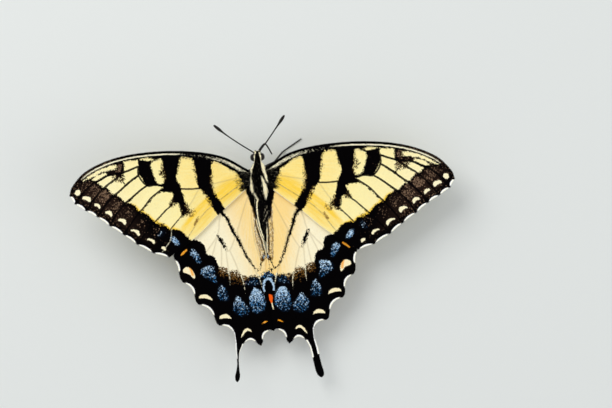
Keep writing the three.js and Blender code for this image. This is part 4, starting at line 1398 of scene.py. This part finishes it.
def make_palp_hair(side, path, finish):
    share = draw(PALP_HAIRS, 0.02, 1)
    turn = draw(PALP_HAIRS, 0, 2 * math.pi)
    known = np.linspace(0, 1, len(path))
    centre, forward = (np.stack([np.interp(share, known, column) for column in line.T], axis=1)
                       for line in (path, unit(np.gradient(path, axis=0))))
    across = np.tile([1.0, 0, 0], (PALP_HAIRS, 1))
    front = np.cross(across, forward)
    front *= np.where(front[:, 2] > 0, -1, 1)[:, None]
    out = across * np.cos(turn)[:, None] + front * np.sin(turn)[:, None]
    root = centre + out * np.interp(share, PALP_STATIONS, PALP_HAIR_ROOTS)[:, None]
    pale = np.where((draw(PALP_HAIRS) < 0.85) & (np.abs(np.cos(turn)) > 0.45), 0.9, 0)
    marks = {"pale": pale, "grey": 0, "gold": 0, "shade": draw(PALP_HAIRS)}
    bake = np.stack([turn / (2 * math.pi), share], axis=1)
    lie = forward + out * 0.4 + jitter(PALP_HAIRS, 0.12)
    make_coat(f"palp_hair_{side}", finish, root, out, lie, draw(PALP_HAIRS, 0.25, 0.45), 0.045, bake, marks)


def make_proboscis(finish):
    """The tongue: two half tubes side by side, finely ringed."""
    route = through(PROBOSCIS_ROUTE, 40)
    share = np.linspace(0, 1, len(route))
    bands = 1 - BAND_DEPTH * np.abs(np.cos(math.pi * PROBOSCIS_BANDS * share)) ** 4
    radius = np.interp(share, [0, 1], PROBOSCIS_RADII)
    across = unit(np.cross(np.gradient(route, axis=0), (0, 0, 1))) * (0.7 * radius)[:, None]
    halves = [tube(route + across * sign, radius * bands, AROUND_PROBOSCIS) for sign in SIDES.values()]
    shaped("tongue", gathered(halves), [finish], ["proboscis"])


def limb_part(start, end, radii, steps=14):
    """A straight part of a leg, its radius running through radii."""
    share = np.linspace(0, 1, steps)
    path = start + (end - start) * share[:, None]
    return tube(path, np.interp(share, np.linspace(0, 1, len(radii)), radii), AROUND_LIMB)


def spine(start, direction, length, radius):
    path = start + unit(direction) * length * np.linspace(0, 1, len(SPINE_TAPER))[:, None]
    return tube(path, radius * SPINE_TAPER, AROUND_SPINE)


def make_leg(name, route, finish):
    hip, knee, ankle = (np.array(p, float) for p in route[:3])
    heel, toe = (np.array([*p, FOOT_Z]) for p in route[3:])
    thigh, shin, foot = knee - hip, ankle - knee, toe - heel
    down, forward, side = unit(shin), unit(foot), unit(np.cross(foot, (0, 0, 1)))
    parts = [
        limb_part(hip - thigh * 0.05, hip + thigh * 0.2, HIP_RADII),
        limb_part(hip + thigh * 0.16, knee, THIGH_RADII),
        limb_part(knee, ankle, SHIN_RADII),
        limb_part(ankle, heel, HEEL_RADII),
    ]
    for a, b in zip(TARSUS_JOINTS[:-1], TARSUS_JOINTS[1:]):
        parts.append(limb_part(heel + foot * (a + TARSUS_GAP), heel + foot * (b - TARSUS_GAP), TOE_RADII, 6))
    for aside in (-side, side):
        claw = through([toe + forward * ahead + aside * out + (0, 0, up) for ahead, out, up in CLAW], 4)
        parts.append(tube(claw, np.linspace(*CLAW_RADII, len(claw)), AROUND_CLAW))
        parts.append(spine(ankle - down * 0.35 + aside * 0.15, down + aside * 0.5, *SPUR))
    for share in np.linspace(0.12, 0.92, 9):
        for aside in (-side, side):
            low = aside + forward * 1.5 - (0, 0, 0.15)
            parts.append(spine(knee + shin * share + aside * 0.22, aside + down * 1.6, *SHIN_SPINE))
            parts.append(spine(heel + foot * share + aside * 0.14, low, *FOOT_SPINE))
    shaped(f"{name}_horn", gathered(parts), [finish], [name])


# ---------------------------------------------------------------- coat of the wings

PLAN_STEP = 0.05
ROOT_LIFT = 0.03  # how far above a wing's middle its hair starts
BAKE_SPAN, BAKE_CORNER = 64, np.array([0.08, 0.88])
INNER_HAIRS, ROOT_HAIRS, FRINGE_STEP = 4200, 3000, 0.085


def wing_coat(name, kind, side, finish, spots, lie, lift, length, width, marks):
    """Hair growing from a wing: spots and lie are on its plan."""
    root = on_wing(kind, side, spots)
    ahead = unit(on_wing(kind, side, spots + lie * PLAN_STEP) - root)
    beside = on_wing(kind, side, spots + np.stack([-lie[:, 1], lie[:, 0]], axis=1) * PLAN_STEP) - root
    out = unit(np.cross(ahead, beside))
    out *= np.where(out[:, 2] < 0, -1, 1)[:, None]
    lie = ahead + out * lift[:, None] + jitter(len(spots), 0.08)
    bake = spots / BAKE_SPAN + BAKE_CORNER
    make_coat(name, finish, root + out * ROOT_LIFT, out, lie, length, width, bake, marks, 0.12)


def make_inner_hair(side, finish):
    """Hair over the hindwing's root and in the strip along its inner margin."""
    y = draw(INNER_HAIRS, -18.5, 2)
    inner = np.interp(-y, [-2, 6, 12, 17, 22], [2.4, 2.3, 2.1, 1.3, 0.5])
    spots = np.stack([inner + draw(INNER_HAIRS, -0.8, 2.8), y], axis=1)
    spots = spots[within(spots, OUTLINES["hindwing"][side]) > 0.06]
    wing = hind_marks(spots, side)
    dark, gilt = wing["pale"] < 0, wing["gilt"]
    chosen = (dark | (gilt > 0.3)) & ((spots[:, 1] > -8.5) | (draw(len(spots)) < 0.5))
    spots, dark, gilt = spots[chosen], dark[chosen], gilt[chosen]
    count = len(spots)
    lie = np.stack([LOCKS.normal(-0.05, 0.14, count), -np.ones(count)], axis=1)
    pick = draw(count)
    marks = {
        "pale": np.where(~dark & (pick < 0.6), 0.8, 0),
        "gold": np.where(~dark & (pick > 0.6) & (pick < 0.88) | (gilt > 0.8) & (pick > 0.3), 0.9, 0),
        "grey": np.where((spots[:, 1] < -4) & (pick > 0.88), 0.8, 0),
        "shade": draw(count),
    }
    length, lift = draw(count, 0.5, 1), draw(count, 0.02, 0.22)
    wing_coat(f"inner_margin_hair_{side}", "hindwing", side, finish, spots, lie, lift, length, 0.06, marks)


def make_root_hair(side, finish):
    """Black hair over the forewing's root."""
    reach = np.abs(LOCKS.normal(0, 1.4, ROOT_HAIRS)) + (0.4 if side == "right" else 0)
    y = draw(ROOT_HAIRS, -0.6, 5.6)
    spots = np.stack([2.4 + reach, y + reach * 0.45 - 0.4], axis=1)
    spots = spots[within(spots, OUTLINES["forewing"][side]) > 0.1]
    count = len(spots)
    lie = np.stack([np.ones(count), LOCKS.normal(0.1, 0.25, count) - 0.25], axis=1)
    marks = {"pale": 0, "gold": 0, "grey": np.where(draw(count) < 0.07, 0.6, 0), "shade": draw(count)}
    lift, length = draw(count, 0.05, 0.3), draw(count, 0.6, 1.2)
    wing_coat(f"wing_root_hair_{side}", "forewing", side, finish, spots, lie, lift, length, 0.07, marks)


def make_fringe(kind, side, finish):
    """Fringe scales standing out all round a wing's margin, white in the notches."""
    shape = OUTLINES[kind][side]
    outline = closed(shape)
    lengths = paced(outline)
    at = np.arange(0, lengths[-1], FRINGE_STEP)
    at = np.clip(at + draw(len(at), -0.3, 0.3) * FRINGE_STEP, 0, lengths[-1] - 1e-3)
    spots, after = (np.stack([np.interp(t, lengths, column) for column in outline.T], axis=1)
                    for t in (at, at + 0.02))
    run = unit(after - spots)
    outward = np.stack([-run[:, 1], run[:, 0]], axis=1)
    outward *= np.where(within(spots + outward * 0.05, shape) > 0, -1, 1)[:, None]
    free = (spots[:, 0] > 1.3) | (np.abs(spots[:, 1] + 29.5) > 9.8)
    spots, run, outward = spots[free], run[free], outward[free]
    count = len(spots)
    inside = spots - outward * 0.16
    wing = MARKS[kind](inside, side)
    white = smoothstep(-0.05, 0.1, wing["fringe"])
    pale = np.maximum(white, 0.8 * smoothstep(-0.1, 0.1, wing["pale"]))
    marks = {"pale": pale, "gold": 0, "grey": 0, "shade": np.where(white > 0.5, 0.1, draw(count, 0.2, 1))}
    lie = outward + run * LOCKS.normal(0, 0.12, (count, 1))
    length, lift = draw(count, 0.26, 0.36), LOCKS.normal(0, 0.06, count)
    wing_coat(f"{kind}_{side}_fringe", kind, side, finish, inside, lie, lift, length, 0.1, marks)


# ---------------------------------------------------------------- the stage

CAMERA_AT, CAMERA_TURN = (12.03, -5.09), -5.45
CAMERA_HEIGHT, WING_LEVEL = 1600, 12
VIEW_WIDTH, SENSOR = 171.4, 36
SKY, SKY_STRENGTH = (0.93, 0.96, 1, 1), 0.62
LIGHTS = [  # name, place, size and power, in metres and watts
    ("key_light", (-0.25, 0.4, 0.6), 0.45, 2.6),
    ("fill_light", (0.5, -0.2, 0.5), 0.6, 0.8),
]


def make_camera():
    camera = bpy.data.objects.new("camera", bpy.data.cameras.new("camera"))
    camera.data.sensor_width = SENSOR
    camera.data.lens = SENSOR * (CAMERA_HEIGHT - WING_LEVEL) / VIEW_WIDTH
    camera.data.clip_end = 20
    camera.location = ORIGIN + MM * np.array([*CAMERA_AT, CAMERA_HEIGHT])
    camera.rotation_euler = (0, 0, math.radians(CAMERA_TURN))
    bpy.context.scene.collection.objects.link(camera)
    bpy.context.scene.camera = camera


def make_light(name, place, size, power):
    light = bpy.data.objects.new(name, bpy.data.lights.new(name, "AREA"))
    light.data.size = size
    light.data.energy = power
    light.location = place
    light.rotation_euler = (-Vector(place)).to_track_quat("-Z", "Y").to_euler()
    bpy.context.scene.collection.objects.link(light)


def make_floor():
    mesh = bmesh.new()
    bmesh.ops.create_circle(mesh, cap_ends=True, segments=96, radius=3)
    data = bpy.data.meshes.new("floor")
    mesh.to_mesh(data)
    mesh.free()
    finish = Finish("floor_paint", {"Base Color": FLOOR_GREY, "Roughness": 0.9})
    data.materials.append(finish.material)
    floor = bpy.data.objects.new("floor", data)
    bpy.context.scene.collection.objects.link(floor)


def make_sky():
    world = bpy.data.worlds.new("studio")
    world.use_nodes = True
    sky = world.node_tree.nodes["Background"].inputs
    sky["Color"].default_value = SKY
    sky["Strength"].default_value = SKY_STRENGTH
    bpy.context.scene.world = world
    bpy.context.scene.view_settings.view_transform = "Standard"


def make_butterfly():
    hair = hair_finish()
    skin = skin_finish()
    horn = horn_finish("horn", LEG_BROWN, 0.35)
    feeler = horn_finish("feeler_horn", FEELER_BROWN, 0.5)
    eye = eye_finish()
    for kind in KINDS:
        finishes = [wing_top(kind), wing_under(kind)]
        for side in SIDES:
            make_wing(kind, side, finishes)
    make_skin(skin)
    for coat in BODY_COATS:
        make_body_coat(hair, *coat)
    for side, sign in SIDES.items():
        make_eye(side, sign, eye)
        make_antenna(side, feeler)
        path = make_palp(side, sign, skin)
        make_palp_hair(side, path, hair)
        make_inner_hair(side, hair)
        make_root_hair(side, hair)
        for kind in KINDS:
            make_fringe(kind, side, hair)
    make_proboscis(feeler)
    for name, route in LEG_ROUTES.items():
        make_leg(name, route, horn)


make_camera()
make_floor()
make_sky()
for lamp in LIGHTS:
    make_light(*lamp)
make_butterfly()

bpy.context.view_layer.update()
